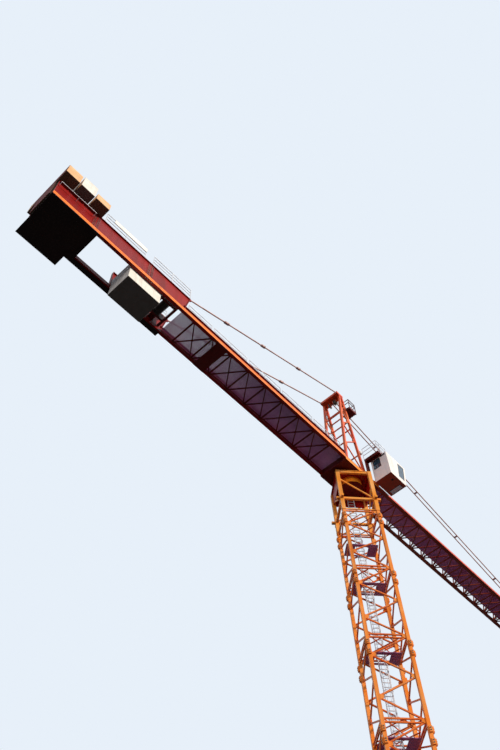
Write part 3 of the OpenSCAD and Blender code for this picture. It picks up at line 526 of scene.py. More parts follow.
diaphragm = []
inner = mast_half - leg_w / 2
for k in range(section_n + 1):
    z = mast_foot + k * section_h + (0.09 if k < section_n else -0.09)
    for sx in (-1, 1):
        diaphragm.append([turned((sx * inner, -inner, z)), turned((-sx * inner, inner, z + 0.001))])
        diaphragm.append([turned((sx * inner, 0, z - 0.02)), turned((0, sx * inner, z - 0.02))])
        diaphragm.append([turned((sx * inner, 0, z - 0.02)), turned((0, -sx * inner, z - 0.02))])
bars("mast_diaphragms", "tower", diaphragm, 0.017, shaded_orange, sides=6)

# Ladder in the mast: galvanised stringers and rungs inside a cage of round hoops.
galvanised = paint("galvanised", "d2d7de", "e6e9ed", runs=0.25, chips=0.2, rough=0.38)
galvanised.node_tree.nodes["Principled BSDF"].inputs["Metallic"].default_value = 0.15
dress("mast_ladder", galvanised)
ladder_x, hoop_r, hoop_pitch = 0.345, 0.165, 0.4
hoops = []
hoop_count = int((mast_top - 2.3) / hoop_pitch)
hoop_steps = 10
for k in range(hoop_count):
    z = 2.3 + k * hoop_pitch
    arc = []
    for i in range(hoop_steps + 1):
        angle = math.pi * (0.5 + i / hoop_steps)
        arc.append(turned((ladder_x + hoop_r * math.cos(angle), hoop_r * math.sin(angle) * 0.8, z)))
    hoops.append(arc)
for share in (0.25, 0.5, 0.75):
    angle = math.pi * (0.5 + share)
    x, y = ladder_x + hoop_r * math.cos(angle), hoop_r * math.sin(angle) * 0.8
    hoops.append([turned((x, y, 2.3)), turned((x, y, 2.3 + (hoop_count - 1) * hoop_pitch))])
bars("ladder_cage", "tower", hoops, 0.006, galvanised, sides=6)

# Rest platforms: galvanised bar gratings, pressed from flat bars on edge and cross rods.
grate_tree, given, result = geometry_tree(
    "bar_grating", {"Pitch": 0.017, "Bar": 0.0075, "Depth": 0.02, "Rod Pitch": 0.05, "Low": (0.0, 0.0, 0.0),
                    "High": (1.0, 1.0, 0.0)})
low = grate_tree.nodes.new("ShaderNodeSeparateXYZ")
high = grate_tree.nodes.new("ShaderNodeSeparateXYZ")
grate_tree.links.new(given.outputs["Low"], low.inputs[0])
grate_tree.links.new(given.outputs["High"], high.inputs[0])
length = math_node(grate_tree, "SUBTRACT", high.outputs["X"], low.outputs["X"])
width = math_node(grate_tree, "SUBTRACT", high.outputs["Y"], low.outputs["Y"])
panel = grate_tree.nodes.new("GeometryNodeJoinGeometry")
for across in (True, False):
    run, span = (length, width) if across else (width, length)
    pitch = given.outputs["Pitch" if across else "Rod Pitch"]
    count = math_node(grate_tree, "FLOOR", math_node(grate_tree, "DIVIDE", run, pitch))
    step = math_node(grate_tree, "DIVIDE", run, count)
    thin = given.outputs["Bar"] if across else math_node(grate_tree, "MULTIPLY", given.outputs["Bar"], 1.6)
    tall = given.outputs["Depth"]
    if not across:
        tall = math_node(grate_tree, "MULTIPLY", tall, 0.3)
    row = grate_tree.nodes.new("GeometryNodeMeshLine")
    start = grate_tree.nodes.new("ShaderNodeCombineXYZ")
    offset = grate_tree.nodes.new("ShaderNodeCombineXYZ")
    solid = grate_tree.nodes.new("GeometryNodeMeshCube")
    size = grate_tree.nodes.new("ShaderNodeCombineXYZ")
    stamp = grate_tree.nodes.new("GeometryNodeInstanceOnPoints")
    middle_x = math_node(grate_tree, "MULTIPLY_ADD", length, 0.5, low.outputs["X"])
    middle_y = math_node(grate_tree, "MULTIPLY_ADD", width, 0.5, low.outputs["Y"])
    half_step = math_node(grate_tree, "MULTIPLY", step, 0.5)
    grate_tree.links.new(math_node(grate_tree, "ADD", low.outputs["X"], half_step) if across else middle_x,
                         start.inputs["X"])
    grate_tree.links.new(middle_y if across else math_node(grate_tree, "ADD", low.outputs["Y"], half_step),
                         start.inputs["Y"])
    grate_tree.links.new(low.outputs["Z"], start.inputs["Z"])
    grate_tree.links.new(step, offset.inputs["X" if across else "Y"])
    grate_tree.links.new(thin, size.inputs["X" if across else "Y"])
    grate_tree.links.new(span, size.inputs["Y" if across else "X"])
    grate_tree.links.new(tall, size.inputs["Z"])
    grate_tree.links.new(count, row.inputs["Count"])
    grate_tree.links.new(start.outputs[0], row.inputs["Start Location"])
    grate_tree.links.new(offset.outputs[0], row.inputs["Offset"])
    grate_tree.links.new(size.outputs[0], solid.inputs["Size"])
    grate_tree.links.new(row.outputs["Mesh"], stamp.inputs["Points"])
    grate_tree.links.new(solid.outputs["Mesh"], stamp.inputs["Instance"])
    grate_tree.links.new(stamp.outputs["Instances"], panel.inputs["Geometry"])
close_tree(grate_tree, given, result, panel.outputs["Geometry"])

# The gratings' mauve is painted warm sunlight on galvanised steel.
sunlit_grating_steel = paint("sunlit_grating_steel", "b377a6", "c490b6", runs=0.2, chips=0.2, rough=0.45)
sunlit_grating_steel.node_tree.nodes["Principled BSDF"].inputs["Metallic"].default_value = 0.1
edge_t = 0.004


def grating(name, body, panels, material, turn=0.0):
    """Bar gratings with edge bars over flat rectangles given by low and high corners."""
    gathered = bmesh.new()
    edges = []
    for low, high in panels:
        middle = (low[2] + high[2]) / 2
        part = grown(name, grate_tree, [(0, 0, 0)], [], {
            "Low": (low[0], low[1], middle), "High": (high[0], high[1], middle),
            "Depth": (high[2] - low[2]) * 0.96, "Material": material})
        gathered.from_mesh(part)
        edges += [((low[0], low[1], low[2]), (high[0], low[1] + edge_t, high[2]), 0.0),
                  ((low[0], high[1] - edge_t, low[2]), (high[0], high[1], high[2]), 0.0),
                  ((low[0], low[1], low[2]), (low[0] + edge_t, high[1], high[2]), 0.0),
                  ((high[0] - edge_t, low[1], low[2]), (high[0], high[1], high[2]), 0.0)]
    gathered.from_mesh(boxes_mesh(name + "_edges", edges))
    bmesh.ops.rotate(gathered, verts=gathered.verts[:], cent=(0, 0, 0), matrix=Matrix.Rotation(turn, 3, "Z"))
    return piece_from(name, mesh_from(gathered, name), body, material)


rest_panels = []
rest_low, rest_high = inner - 0.52, mast_half - 0.02
for k in range(1, section_n + 1):
    z = mast_foot + k * section_h - 0.05 - 0.02 - 0.02 - (0.9 if k == section_n else 0)
    hole_low, hole_high = mast_half - 0.46, mast_half - 0.08
    for x0, y0, x1, y1 in ((rest_low, -inner, hole_low, inner), (hole_high, -inner, rest_high, inner),
                           (hole_low, -inner, hole_high, -0.22), (hole_low, 0.22, hole_high, inner)):
        rest_panels.append(((x0, y0, z), (x1, y1, z + 0.02)))
rest = grating("mast_rest_gratings", "tower", rest_panels, sunlit_grating_steel, mast_turn)
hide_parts("mast_platforms")


# Tower top: thick welded legs, a ledge, and a closed band with a drum under the slewing ring.
# The legs and ledge are yellow-orange, the band's plates red and the drum deep orange, with painted shade in dark red
# on the drum's bottom.
top_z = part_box("tower_top")[1][2]
drum_h = 0.3


def by_part_of_top(tree, base):
    """Red plates between the legs and an orange drum with a bottom of painted shade, by distance from the mast's
    axis.
    """
    own_x, own_y, height = object_axes(tree, mast_turn)
    x = math_node(tree, "ABSOLUTE", own_x)
    y = math_node(tree, "ABSOLUTE", own_y)
    between = math_node(tree, "LESS_THAN", math_node(tree, "MINIMUM", x, y), mast_half - 0.064)
    in_band = math_node(tree, "GREATER_THAN", height, top_z - 0.62)
    radius = math_node(tree, "SQRT", math_node(tree, "ADD", math_node(tree, "MULTIPLY", x, x),
                                              math_node(tree, "MULTIPLY", y, y)))
    drum = math_node(tree, "LESS_THAN", radius, 0.402)
    behind = math_node(tree, "GREATER_THAN", own_x, -0.5)
    closed = math_node(tree, "MULTIPLY", math_node(tree, "MULTIPLY", between, in_band), behind)
    plates = mixed(tree, closed, base, tint("a81407"))
    # Below the drum's wall, its bottom is dark red: painted shade on the underside.
    wall = math_node(tree, "GREATER_THAN", height, top_z - drum_h + 0.003)
    drum_and_shaded_bottom = mixed(tree, wall, tint("6a0c05"), tint("f2921c"))
    return mixed(tree, math_node(tree, "MULTIPLY", drum, in_band), plates, drum_and_shaded_bottom)


top_paint = paint("tower_top_paint", "f0952f", "f6b468", runs=0.35, choose=by_part_of_top)
dress("tower_top", top_paint)
ledge_bolts = []
ledge_z = mast_top + 0.52 + 0.0425
for turn in range(4):
    quarter = mast_turn + turn * math.pi / 2
    for y in (-0.7, -0.45, 0.45, 0.7):
        ledge_bolts.append((turned((mast_half + 0.0, y, ledge_z + 0.0425), quarter), (0, 0, 1)))
        ledge_bolts.append((turned((mast_half + 0.0, y, ledge_z - 0.0425), quarter), (0, 0, -1)))
bolts("ledge_bolts", "tower", ledge_bolts, 0.016, 0.014)

# Slewing ring: two greased steel rings with a row of bolts that shows under the tower top's plate.
def steel(name, colour, rough, metal):
    made = paint(name, colour, colour, runs=0.6, chips=0.3, rough=rough)
    made.node_tree.nodes["Principled BSDF"].inputs["Metallic"].default_value = metal
    return made


bare_steel = steel("greased_steel", "57504c", 0.3, 0.75)
dress("slewing_ring_base", bare_steel)
dress("slewing_ring_top", bare_steel)
ring_n, ring_bolt_r = 32, 0.495
bolts("slewing_ring_bolts", "tower", [
    ((ring_bolt_r * math.cos(2 * math.pi * i / ring_n), ring_bolt_r * math.sin(2 * math.pi * i / ring_n),
      top_z - 0.02), (0, 0, -1)) for i in range(ring_n)], 0.015, 0.016)


# Slewing platform: welded side and cross beams with a bottom plate, painted deep red.
# The side beams' lower strip is orange, as on the girders; the orange is painted sunlight on their outer faces.
def sunlit_strip_choice(strip_low, strip_high, sunlit_colour, half_from=0.0):
    """Another colour between two heights, outside a distance from the jib's middle plane: painted sunlight on the
    outer faces.
    """
    def choose(tree, base):
        _, across, height = object_axes(tree)
        above = math_node(tree, "GREATER_THAN", height, strip_low)
        below = math_node(tree, "LESS_THAN", height, strip_high)
        outside = math_node(tree, "GREATER_THAN", math_node(tree, "ABSOLUTE", across), half_from)
        inside = math_node(tree, "MULTIPLY", math_node(tree, "MULTIPLY", above, below), outside)
        return mixed(tree, inside, base, tint(sunlit_colour))
    return choose


dark_red = paint("dark_red", "5c0f0a", "6e180f", runs=0.45)
platform_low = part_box("slewing_platform")[0]
deck_level = platform_low[2] + 0.21
platform_paint = paint("platform_red", "5c0f0a", "6e180f", runs=0.4,
                       choose=sunlit_strip_choice(platform_low[2] + 0.002, platform_low[2] + 0.18, "ef8a2a", 0.588))
dress("slewing_platform", platform_paint)
dress("slew_drive", dark_red)
sill_end = platform_low[0] + 0.05
piece_from("platform_sill", boxes_mesh("platform_sill", [
    ((platform_low[0], -0.484, deck_level), (sill_end, 0.484, deck_level + 0.078), 0.0)], 0.004),
    "top", dark_red)
motor_fins = []
motor_x, motor_y, fin_r, fin_pitch = -0.25, 0.15, 0.088, 0.022
motor_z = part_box("slew_drive")[0][2] + 0.24
for k in range(12):
    motor_fins.append([(motor_x + fin_r * math.cos(a * math.pi / 12), motor_y + fin_r * math.sin(a * math.pi / 12),
                        motor_z + k * fin_pitch) for a in range(25)])
bars("slew_drive_fins", "top", motor_fins, 0.005, dark_red, sides=6)

# Tower head: two side frames of square tube, joined by a cap and rungs.
# Corner plates stiffen the nodes, rope sheaves hang under the cap, and a lamp is fixed to the front leg.
jib_orange = paint("jib_orange", "d4491a", "e27a4c", runs=0.35)
for node in ("head_frame_right", "head_frame_left", "head_cross_frame"):
    dress(node, jib_orange)
head_low, head_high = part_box("head_frame_right")
deck_z, head_top = head_low[2], head_high[2]
head_h, head_y = head_top - deck_z, 0.395
rear_foot, rear_top, front_foot, front_top = -0.6, -0.175, 0.53, -0.04


def leg_point(front, share):
    """A point on the middle of a head leg, at a share of the head's height."""
    foot, top = (front_foot, front_top) if front else (rear_foot, rear_top)
    return Vector((foot + (top - foot) * share, 0, deck_z + head_h * share))


head_gussets = []
gusset_t = 0.008
joints = [(False, share) for share in (0.2845, 0.571, 0.785, 0.93)]
joints += [(True, share) for share in (0.06, 0.434, 0.675, 0.866)]
for front, share in joints:
    node = leg_point(front, share)
    along = (leg_point(front, 1) - leg_point(front, 0)).normalized()
    inward = Vector((-1 if front else 1, 0, 0))
    long, deep = 0.15, 0.13
    if share > 0.8:
        long, deep = 0.11, 0.085
    for side in (-1, 1):
        for face in (-0.025, 0.025):
            y = Vector((0, side * head_y + face, 0))
            outline = [node - along * long + inward * 0.03, node - along * long * 0.35 + inward * deep,
                       node + along * long * 0.35 + inward * deep, node + along * long + inward * 0.03]
            head_gussets.append(([tuple(p + y) for p in outline], (0, gusset_t, 0)))
plate_piece("head_corner_plates", "top", head_gussets, jib_orange)


def lathe(shape, centre, axis, profile, steps=28):
    """Adds a closed ring turned round an axis; the profile is a loop of radius and place along it."""
    centre, axis = Vector(centre), Vector(axis).normalized()
    side = axis.orthogonal().normalized()
    up = axis.cross(side)
    rings = []
    for i in range(steps):
        angle = 2 * math.pi * i / steps
        out = math.cos(angle) * side + math.sin(angle) * up
        rings.append([shape.verts.new(centre + out * r + axis * a) for r, a in profile])
    count = len(profile)
    for i in range(steps):
        for j in range(count):
            after = (i + 1) % steps
            beside = (j + 1) % count
            shape.faces.new((rings[i][j], rings[i][beside], rings[after][beside], rings[after][j]))


def turned_parts(name, parts, body, material):
    """One piece of several turned rings, each given by its centre, axis and profile."""
    shape = bmesh.new()
    for centre, axis, profile in parts:
        lathe(shape, centre, axis, profile)
    bmesh.ops.recalc_face_normals(shape, faces=shape.faces[:])
    return piece_from(name, mesh_from(shape, name), body, material)


def sheave(radius, width):
    """The profile of a rope sheave: hub, web and a rim with a groove."""
    half = width / 2
    return [(radius * 0.12, -half * 1.2), (radius * 0.3, -half * 1.2), (radius * 0.3, -half * 0.45),
            (radius * 0.78, -half * 0.45), (radius * 0.82, -half), (radius, -half), (radius * 0.86, 0),
            (radius, half), (radius * 0.82, half), (radius * 0.78, half * 0.45), (radius * 0.3, half * 0.45),
            (radius * 0.3, half * 1.2), (radius * 0.12, half * 1.2)]


worn_steel = steel("worn_steel", "77706a", 0.42, 0.55)
cap_sheaves = [((-0.11, y, head_top - 0.15), (0, 1, 0), sheave(0.12, 0.035)) for y in (-0.16, -0.08, 0.16)]
turned_parts("head_sheaves", cap_sheaves, "top", worn_steel)
bars("head_sheave_pin", "top", [[(-0.11, -0.22, head_top - 0.15), (-0.11, 0.22, head_top - 0.15)]],
     0.0165, worn_steel, sides=16)
cheeks = []
for y in (-0.205, -0.12, -0.035, 0.125, 0.2):
    outline = [(-0.21, y, head_top), (-0.15, y, head_top - 0.2), (-0.07, y, head_top - 0.2), (-0.01, y, head_top)]
    cheeks.append((outline, (0, 0.012, 0)))
plate_piece("head_sheave_cheeks", "top", cheeks, jib_orange)

lamp_spot = leg_point(True, 0.31) + Vector((0.075, -head_y - 0.045, 0))
lamp_white = paint("lamp_white", "ece9e2", "f6f4ee", runs=0.15, chips=0.2, rough=0.3)
piece_from("work_lamp_housing", boxes_mesh("work_lamp_housing", [
    (lamp_spot - Vector((0.055, 0.05, 0.075)), lamp_spot + Vector((0.055, 0.04, 0.075)), 0.0)], 0.012),
    "top", lamp_white)
bars("work_lamp_bracket", "top", [[leg_point(True, 0.31) + Vector((0, -head_y, 0)), lamp_spot]], 0.012,
     lamp_white)

# Service platform of the head: a floor with its railing, made of square tube and sheet, painted red.
# Kick boards stand along the floor's front end and the front part of one side.
dress("head_platform", dark_red)
service_low, service_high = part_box("head_platform")
kick = []
from_x, kick_z = service_high[0] - 0.43, service_low[2] + 0.07
kick += [((from_x, service_low[1], kick_z), (service_high[0], service_low[1] + 0.006, kick_z + 0.08), 0.0),
         ((service_high[0] - 0.006, service_low[1], kick_z), (service_high[0], service_high[1], kick_z + 0.08), 0.0)]
box_piece("service_kick_boards", "top", kick, 0.002, dark_red)

# Counter-jib: two girders with a bottom box, a recessed web and a top flange.
# The box's outer face carries an orange strip, which is painted sunlight; the web and the box's underside are deep
# red.
box_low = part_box("counter_girder_right")[0]
girder_z, girder_out = box_low[2], -box_low[1]
box_h, shallow_h, deep_h = 0.174, 0.367, 1.101
platform_x = 0.95
girder_paint = paint("girder_red", "7f0503", "900e08", runs=0.35,
                     choose=sunlit_strip_choice(girder_z + 0.004, girder_z + box_h - 0.002, "ec7a2c", girder_out - 0.004))
for node in ("counter_girder_right", "counter_girder_left"):
    dress(node, girder_paint)
for node in ("counter_bracing", "counter_cross_plate", "winch_frame"):
    dress(node, dark_red)
# The ballast floor's near-black brown is painted shade on its underside.
shaded_ballast_floor_paint = paint("floor_painted_shade", "1c0b06", "26110a", runs=0.5)
dress("ballast_floor", shaded_ballast_floor_paint)


def across_plate(x, near, far, low_z, high_z):
    """The outline of an upright plate that stands across the jib."""
    return [(x, near, low_z), (x, far, low_z), (x, far, high_z), (x, near, high_z)]


splices, splice_bolts = [], []
web_out = 0.544
open_from, open_to = -12.42, -11.08
for side in (-1, 1):
    for x in (-10.42, -12.62):
        if side > 0 and open_from < x - 0.13 < open_to:
            continue
        y = side * (web_out + 0.005)
        low_z, high_z = girder_z + box_h + 0.03, girder_z + deep_h - 0.05
        splices.append(([(x - 0.13, y, low_z), (x + 0.13, y, low_z), (x + 0.13, y, high_z), (x - 0.13, y, high_z)],
                        (0, 0.01, 0)))
        for column in (-0.09, -0.04, 0.04, 0.09):
            for row in range(9):
                z = low_z + 0.06 + row * (high_z - low_z - 0.12) / 8
                splice_bolts.append(((x + column, side * (web_out + 0.01), z), (0, side, 0)))
        for column in (-0.12, -0.04, 0.04, 0.12):
            splice_bolts.append(((x + column, side * (girder_out - 0.03), girder_z), (0, 0, -1)))
    for x in [-platform_x - 0.55 - k * 1.32 for k in range(6)]:
        y = side * (web_out + 0.0225)
        outline = across_plate(x, y - 0.0225, y + 0.0225, girder_z + box_h, girder_z + shallow_h - 0.014)
        splices.append((outline, (0.01, 0, 0)))
plate_piece("girder_splice_plates", "top", splices, girder_paint)
bolts("girder_splice_bolts", "top", splice_bolts, 0.014, 0.014)

ribs = []
for side in (-1, 1):
    for x in [-9.3 - k * 0.62 for k in range(8)]:
        if side > 0 and open_from < x < open_to:
            continue
        y = side * (web_out - 0.012 - 0.02)
        outline = across_plate(x, y - 0.02, y + 0.02, girder_z + box_h, girder_z + deep_h - 0.014)
        ribs.append((outline, (0.01, 0, 0)))
plate_piece("girder_inner_ribs", "top", ribs, dark_red)
guard_z = girder_z + deep_h - 0.3
guard = [[(-14.1, -0.7, guard_z), (-12.76, -0.7, guard_z)]]
guard += [[(x, -0.7, guard_z), (x, -0.54, guard_z)] for x in (-14.08, -13.43, -12.78)]

walk_low, walk_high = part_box("counter_walkway")
panel_l = 1.0
counter_panels = []
panel_n = round((walk_high[0] - walk_low[0]) / panel_l)
panel_l = (walk_high[0] - walk_low[0]) / panel_n
for k in range(panel_n):
    x = walk_low[0] + k * panel_l
    counter_panels.append(((x, walk_low[1], walk_low[2]), (x + panel_l, walk_high[1], walk_high[2])))
walk = grating("counter_walkway_grating", "top", counter_panels, sunlit_grating_steel)
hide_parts("counter_walkway")

# Railings: galvanised round tubes, welded into panels of three posts and three level bars.
rail_h, rail_drop, rail_r, rail_w = 0.65, 0.2, 0.012, 0.024
rail_from, rail_panel, rail_gap, rail_y = 7.595, 1.681, 0.095, 0.52
shallow_top, deep_top = girder_z + shallow_h, girder_z + deep_h
inner_top = girder_z + box_h + 0.02 + rail_h
deep_top_from = 8.731
outer_rail_l, outer_rail_pitch = 1.67, 1.985
rails_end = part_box("counter_rail_right")[1][0]


def rail_panel_lines(low, high, y, z, top):
    """The centre lines of one railing panel."""
    r = rail_w / 2
    lines = [[(x, y, z), (x, y, top - r)] for x in (low + r, (low + high) / 2, high - r)]
    for k in range(3):
        level = top - k * rail_drop - r
        lines.append([(low + r, y, level), (high - r, y, level)])
    return lines


for name, side in (("right", -1), ("left", 1)):
    lines = []
    y = side * (rail_y - rail_w / 2)
    lines += rail_panel_lines(-deep_top_from + rail_w, -rail_from - rail_gap / 2, y, shallow_top, inner_top)
    start = -rail_from
    while start < rails_end - 0.3:
        end = min(start + rail_panel - rail_gap / 2, rails_end)
        lines += rail_panel_lines(start + rail_gap / 2, end, y, shallow_top, inner_top)
        start += rail_panel
    y = side * (girder_out - rail_w / 2)
    for k in range(2 if side < 0 else 1):
        end = -deep_top_from - 0.01 - k * outer_rail_pitch
        lines += rail_panel_lines(end - outer_rail_l, end, y, deep_top, deep_top + rail_h)
    rails = bars(f"counter_rails_{name}", "top", lines, rail_r, galvanised)
    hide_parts(f"counter_rail_{name}")

bars("ballast_guard_bar", "top", guard, 0.011, galvanised)

# Blank board on the outer railing: sheet metal, painted white.
white_paint = paint("white_paint", "e9e7e2", "f3f1ec", runs=0.15, chips=0.2, rough=0.32)
dress("rail_board", white_paint)


# Ballast: cast concrete blocks with broken edges, the end ones painted in two shades.
rear_shade_to_y = 0.72


def cast(name, colour, other, shade_below, rear_shade_at=None):
    """Rough concrete with pits, tide marks and a light coat of colour.

    It is darkened below a height, which is painted shade on the undersides, and painted dark red behind a place along
    the jib, which is painted shade on the rear face.
    """
    made = bpy.data.materials.new(name)
    made.use_nodes = True
    tree = made.node_tree
    surface = tree.nodes["Principled BSDF"]
    cloud = spread(tree, noise(tree, 2.4, 7), 0.38, 0.66)
    pits = spread(tree, noise(tree, 60, 4), 0.62, 0.72)
    marks = spread(tree, noise(tree, 5, 6, (1, 1, 0.12)), 0.5, 0.78)
    coat = mixed(tree, cloud, tint(colour), tint(other))
    coat = mixed(tree, math_node(tree, "MULTIPLY", marks, 0.4), coat, tint("7d6a58"))
    coat = mixed(tree, math_node(tree, "MULTIPLY", pits, 0.5), coat, tint("5d5148"))
    along, across, height = object_axes(tree)
    # Painted shade: darker below the given height.
    underside_shade = math_node(tree, "LESS_THAN", height, shade_below)
    coat = mixed(tree, math_node(tree, "MULTIPLY", underside_shade, 0.9), coat, tint("33241a"))
    # Painted shade: dark red on the rear face behind a place along the jib.
    if rear_shade_at:
        rear_shade = math_node(tree, "MULTIPLY", math_node(tree, "LESS_THAN", along, rear_shade_at),
                          math_node(tree, "LESS_THAN", across, rear_shade_to_y))
        coat = mixed(tree, rear_shade, coat, tint("5f120a"))
    tree.links.new(coat, surface.inputs["Base Color"])
    surface.inputs["Roughness"].default_value = 0.85
    bump = tree.nodes.new("ShaderNodeBump")
    bump.inputs["Strength"].default_value = 0.5
    bump.inputs["Distance"].default_value = 0.006
    tree.links.new(math_node(tree, "SUBTRACT", cloud, pits), bump.inputs["Height"])
    tree.links.new(bump.outputs["Normal"], surface.inputs["Normal"])
    return made


def bevelled(node, material, width, body="top", name=None):
    """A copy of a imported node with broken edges, which stands for it."""
    shape = bmesh.new()
    shape.from_mesh(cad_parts[node].data)
    bmesh.ops.remove_doubles(shape, verts=shape.verts[:], dist=1e-5)
    bmesh.ops.dissolve_limit(shape, angle_limit=math.radians(1), verts=shape.verts[:], edges=shape.edges[:])
    mesh = mesh_from(shape, name or node + "_cast")
    made = bpy.data.objects.new(mesh.name, mesh)
    bpy.context.collection.objects.link(made)
    broken = made.modifiers.new("edges", "BEVEL")
    broken.width = width
    broken.segments = 2
    broken.limit_method = "ANGLE"
    ready = made.evaluated_get(bpy.context.evaluated_depsgraph_get())
    finished = bpy.data.meshes.new_from_object(ready)
    finished.name = mesh.name
    bpy.data.objects.remove(made)
    piece = piece_from(finished.name, finished, body, material)
    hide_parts(node)
    return piece


# Below these heights the concrete is darkened as painted shade on the blocks' undersides.
ear_under = deep_top + 0.014
tan_concrete = cast("tan_concrete", "d8a878", "e6bd92", ear_under)
pale_concrete = cast("pale_concrete", "d9d6cc", "e8e6de", ear_under)
# The outer block's rear face carries painted shade in dark red.
rear_shaded_concrete = cast("rear_shaded_concrete", "d8a878", "e6bd92", ear_under,
                       rear_shade_at=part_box("ballast_block_outer")[0][0] + 0.006)
bevelled("ballast_block_outer", rear_shaded_concrete, 0.012)
bevelled("ballast_block_centre", pale_concrete, 0.012)
bevelled("ballast_block_inner", tan_concrete, 0.012)
# The hanging block's underside is darkened as painted shade.
hanging_concrete = cast("hanging_concrete", "d9d6cc", "e8e6de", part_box("hanging_ballast")[0][2] + 0.012)
bevelled("hanging_ballast", hanging_concrete, 0.015)

eyes = []
for node in ("ballast_block_outer", "ballast_block_centre", "ballast_block_inner"):
    low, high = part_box(node)
    x = (low[0] + high[0]) / 2
    for y in (-0.55, 0.55):
        eyes.append([(x - 0.06, y, high[2] - 0.02), (x - 0.06, y, high[2] - 0.004),
                     (x + 0.06, y, high[2] - 0.004), (x + 0.06, y, high[2] - 0.02)])
low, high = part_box("hanging_ballast")
for x in (low[0] + 0.3, high[0] - 0.3):
    for y in (-0.3, 0.3):
        eyes.append([(x - 0.05, y, high[2] - 0.01), (x - 0.04, y, high[2] + 0.07), (x + 0.04, y, high[2] + 0.07),
                     (x + 0.05, y, high[2] - 0.01)])
bars("ballast_eyes", "top", eyes, 0.012, worn_steel)

# Winch: a drum with laid rope between the cheeks of its frame, and a motor beside it.
drum_low, drum_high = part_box("winch_drum")
rope_steel = steel("rope_steel", "4a4440", 0.5, 0.6)
dress("winch_drum", rope_steel)
drum_x, drum_z = (drum_low[0] + drum_high[0]) / 2, (drum_low[2] + drum_high[2]) / 2
rope_d, turns, turn_steps = 0.016, 29, 20
coil = []
for i in range(turns * turn_steps + 1):
    angle = 2 * math.pi * i / turn_steps
    y = -0.232 + rope_d * i / turn_steps
    coil.append((drum_x + 0.138 * math.cos(angle), y, drum_z + 0.138 * math.sin(angle)))
bars("winch_rope", "top", [coil], rope_d / 2, rope_steel, sides=6)

# Ties: flat steel bars that are pinned end to end by link plates.
tie_paint = paint("tie_paint", "b98d84", "cfa9a0", runs=0.4)
for node in ("counter_tie_right", "counter_tie_left", "jib_tie"):
    dress(node, tie_paint)
tie_foot = Vector((-8.716, -0.538, deep_top + 0.03))
tie_high = Vector((-0.305, -0.395, head_top + 0.06))
tie_pins, tie_plates = [], []
for side in (-1, 1):
    foot, high = (Vector((p.x, -side * p.y, p.z)) for p in (tie_foot, tie_high))
    along = (high - foot).normalized()
    up = Vector((0, side, 0)).cross(along).normalized()
    for share in (0.2, 0.43, 0.68):
        middle = foot + (high - foot) * (share + 0.0075)
        for face in (-0.032, 0.032):
            centre = middle + Vector((0, face, 0))
            tie_plates.append(([tuple(centre - along * 0.13 - up * 0.022), tuple(centre - along * 0.1 - up * 0.04),
                                tuple(centre + along * 0.1 - up * 0.04), tuple(centre + along * 0.13 - up * 0.022),
                                tuple(centre + along * 0.13 + up * 0.022), tuple(centre + along * 0.1 + up * 0.04),
                                tuple(centre - along * 0.1 + up * 0.04), tuple(centre - along * 0.13 + up * 0.022)],
                               (0, 0.01, 0)))
        for step in (-0.075, 0.075):
            tie_pins.append([tuple(middle + along * step + Vector((0, y, 0))) for y in (-0.05, 0.05)])
    tie_pins.append([(foot.x - 0.05, foot.y - 0.035, foot.z - 0.03), (foot.x - 0.05, foot.y + 0.035, foot.z - 0.03)])
plate_piece("tie_link_plates", "top", tie_plates, tie_paint)
bars("tie_pins", "top", tie_pins, 0.017, worn_steel, sides=12)


# Cab: a sheet steel box, painted white, over a brown-red floor plate.
def cab_choice(tree, base):
    """Brown-red on the cab's underside."""
    under_floor = math_node(tree, "LESS_THAN", object_axes(tree)[2], cab_low[2] + 0.004)
    return mixed(tree, under_floor, base, tint("9c4630"))


cab_low, cab_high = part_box("cab_shell")
cab_paint = paint("cab_white", "ebe7e2", "f4f1ec", runs=0.2, chips=0.3, rough=0.3, choose=cab_choice)
bevelled("cab_shell", cab_paint, 0.008, name="cab_body")

cab_glass = bpy.data.materials.new("cab_glass")
cab_glass.use_nodes = True
glass_surface = cab_glass.node_tree.nodes["Principled BSDF"]
glass_surface.inputs["Base Color"].default_value = tint("5f7f96")
glass_surface.inputs["Roughness"].default_value = 0.04
glass_surface.inputs["Transmission Weight"].default_value = 0.75
glass_surface.inputs["IOR"].default_value = 1.45
dress("cab_windows", cab_glass)

# Cab trim: rubber seals in the window openings, a wiper, a vent and a door leaf on the inner side.
# A blank plate and a round drain cap sit on the underside.
cab_x, cab_len, cab_lean, cab_h = cab_low[0], 0.94, 0.26, cab_high[2] - cab_low[2]
cab_in, cab_out = cab_high[1], cab_low[1]
rubber = paint("black_rubber", "1d1c1c", "2a2828", runs=0.1, chips=0.0, rough=0.6)
side_opening = [(0.57, 0.25), (cab_len - 0.04, 0.25),
                (cab_len + cab_lean - 0.12, cab_h - 0.09), (0.72, cab_h - 0.09)]
seals = []
for y in (cab_out + 0.011, cab_in + 0.002):
    loop = [(cab_x + x, y, cab_low[2] + z) for x, z in side_opening]
    seals.append(loop + [loop[0]])


def front_point(y, z):
    """A point on the cab's leaning front, at a height over the floor."""
    return (cab_x + cab_len + cab_lean * z / cab_h + 0.002, y, cab_low[2] + z)


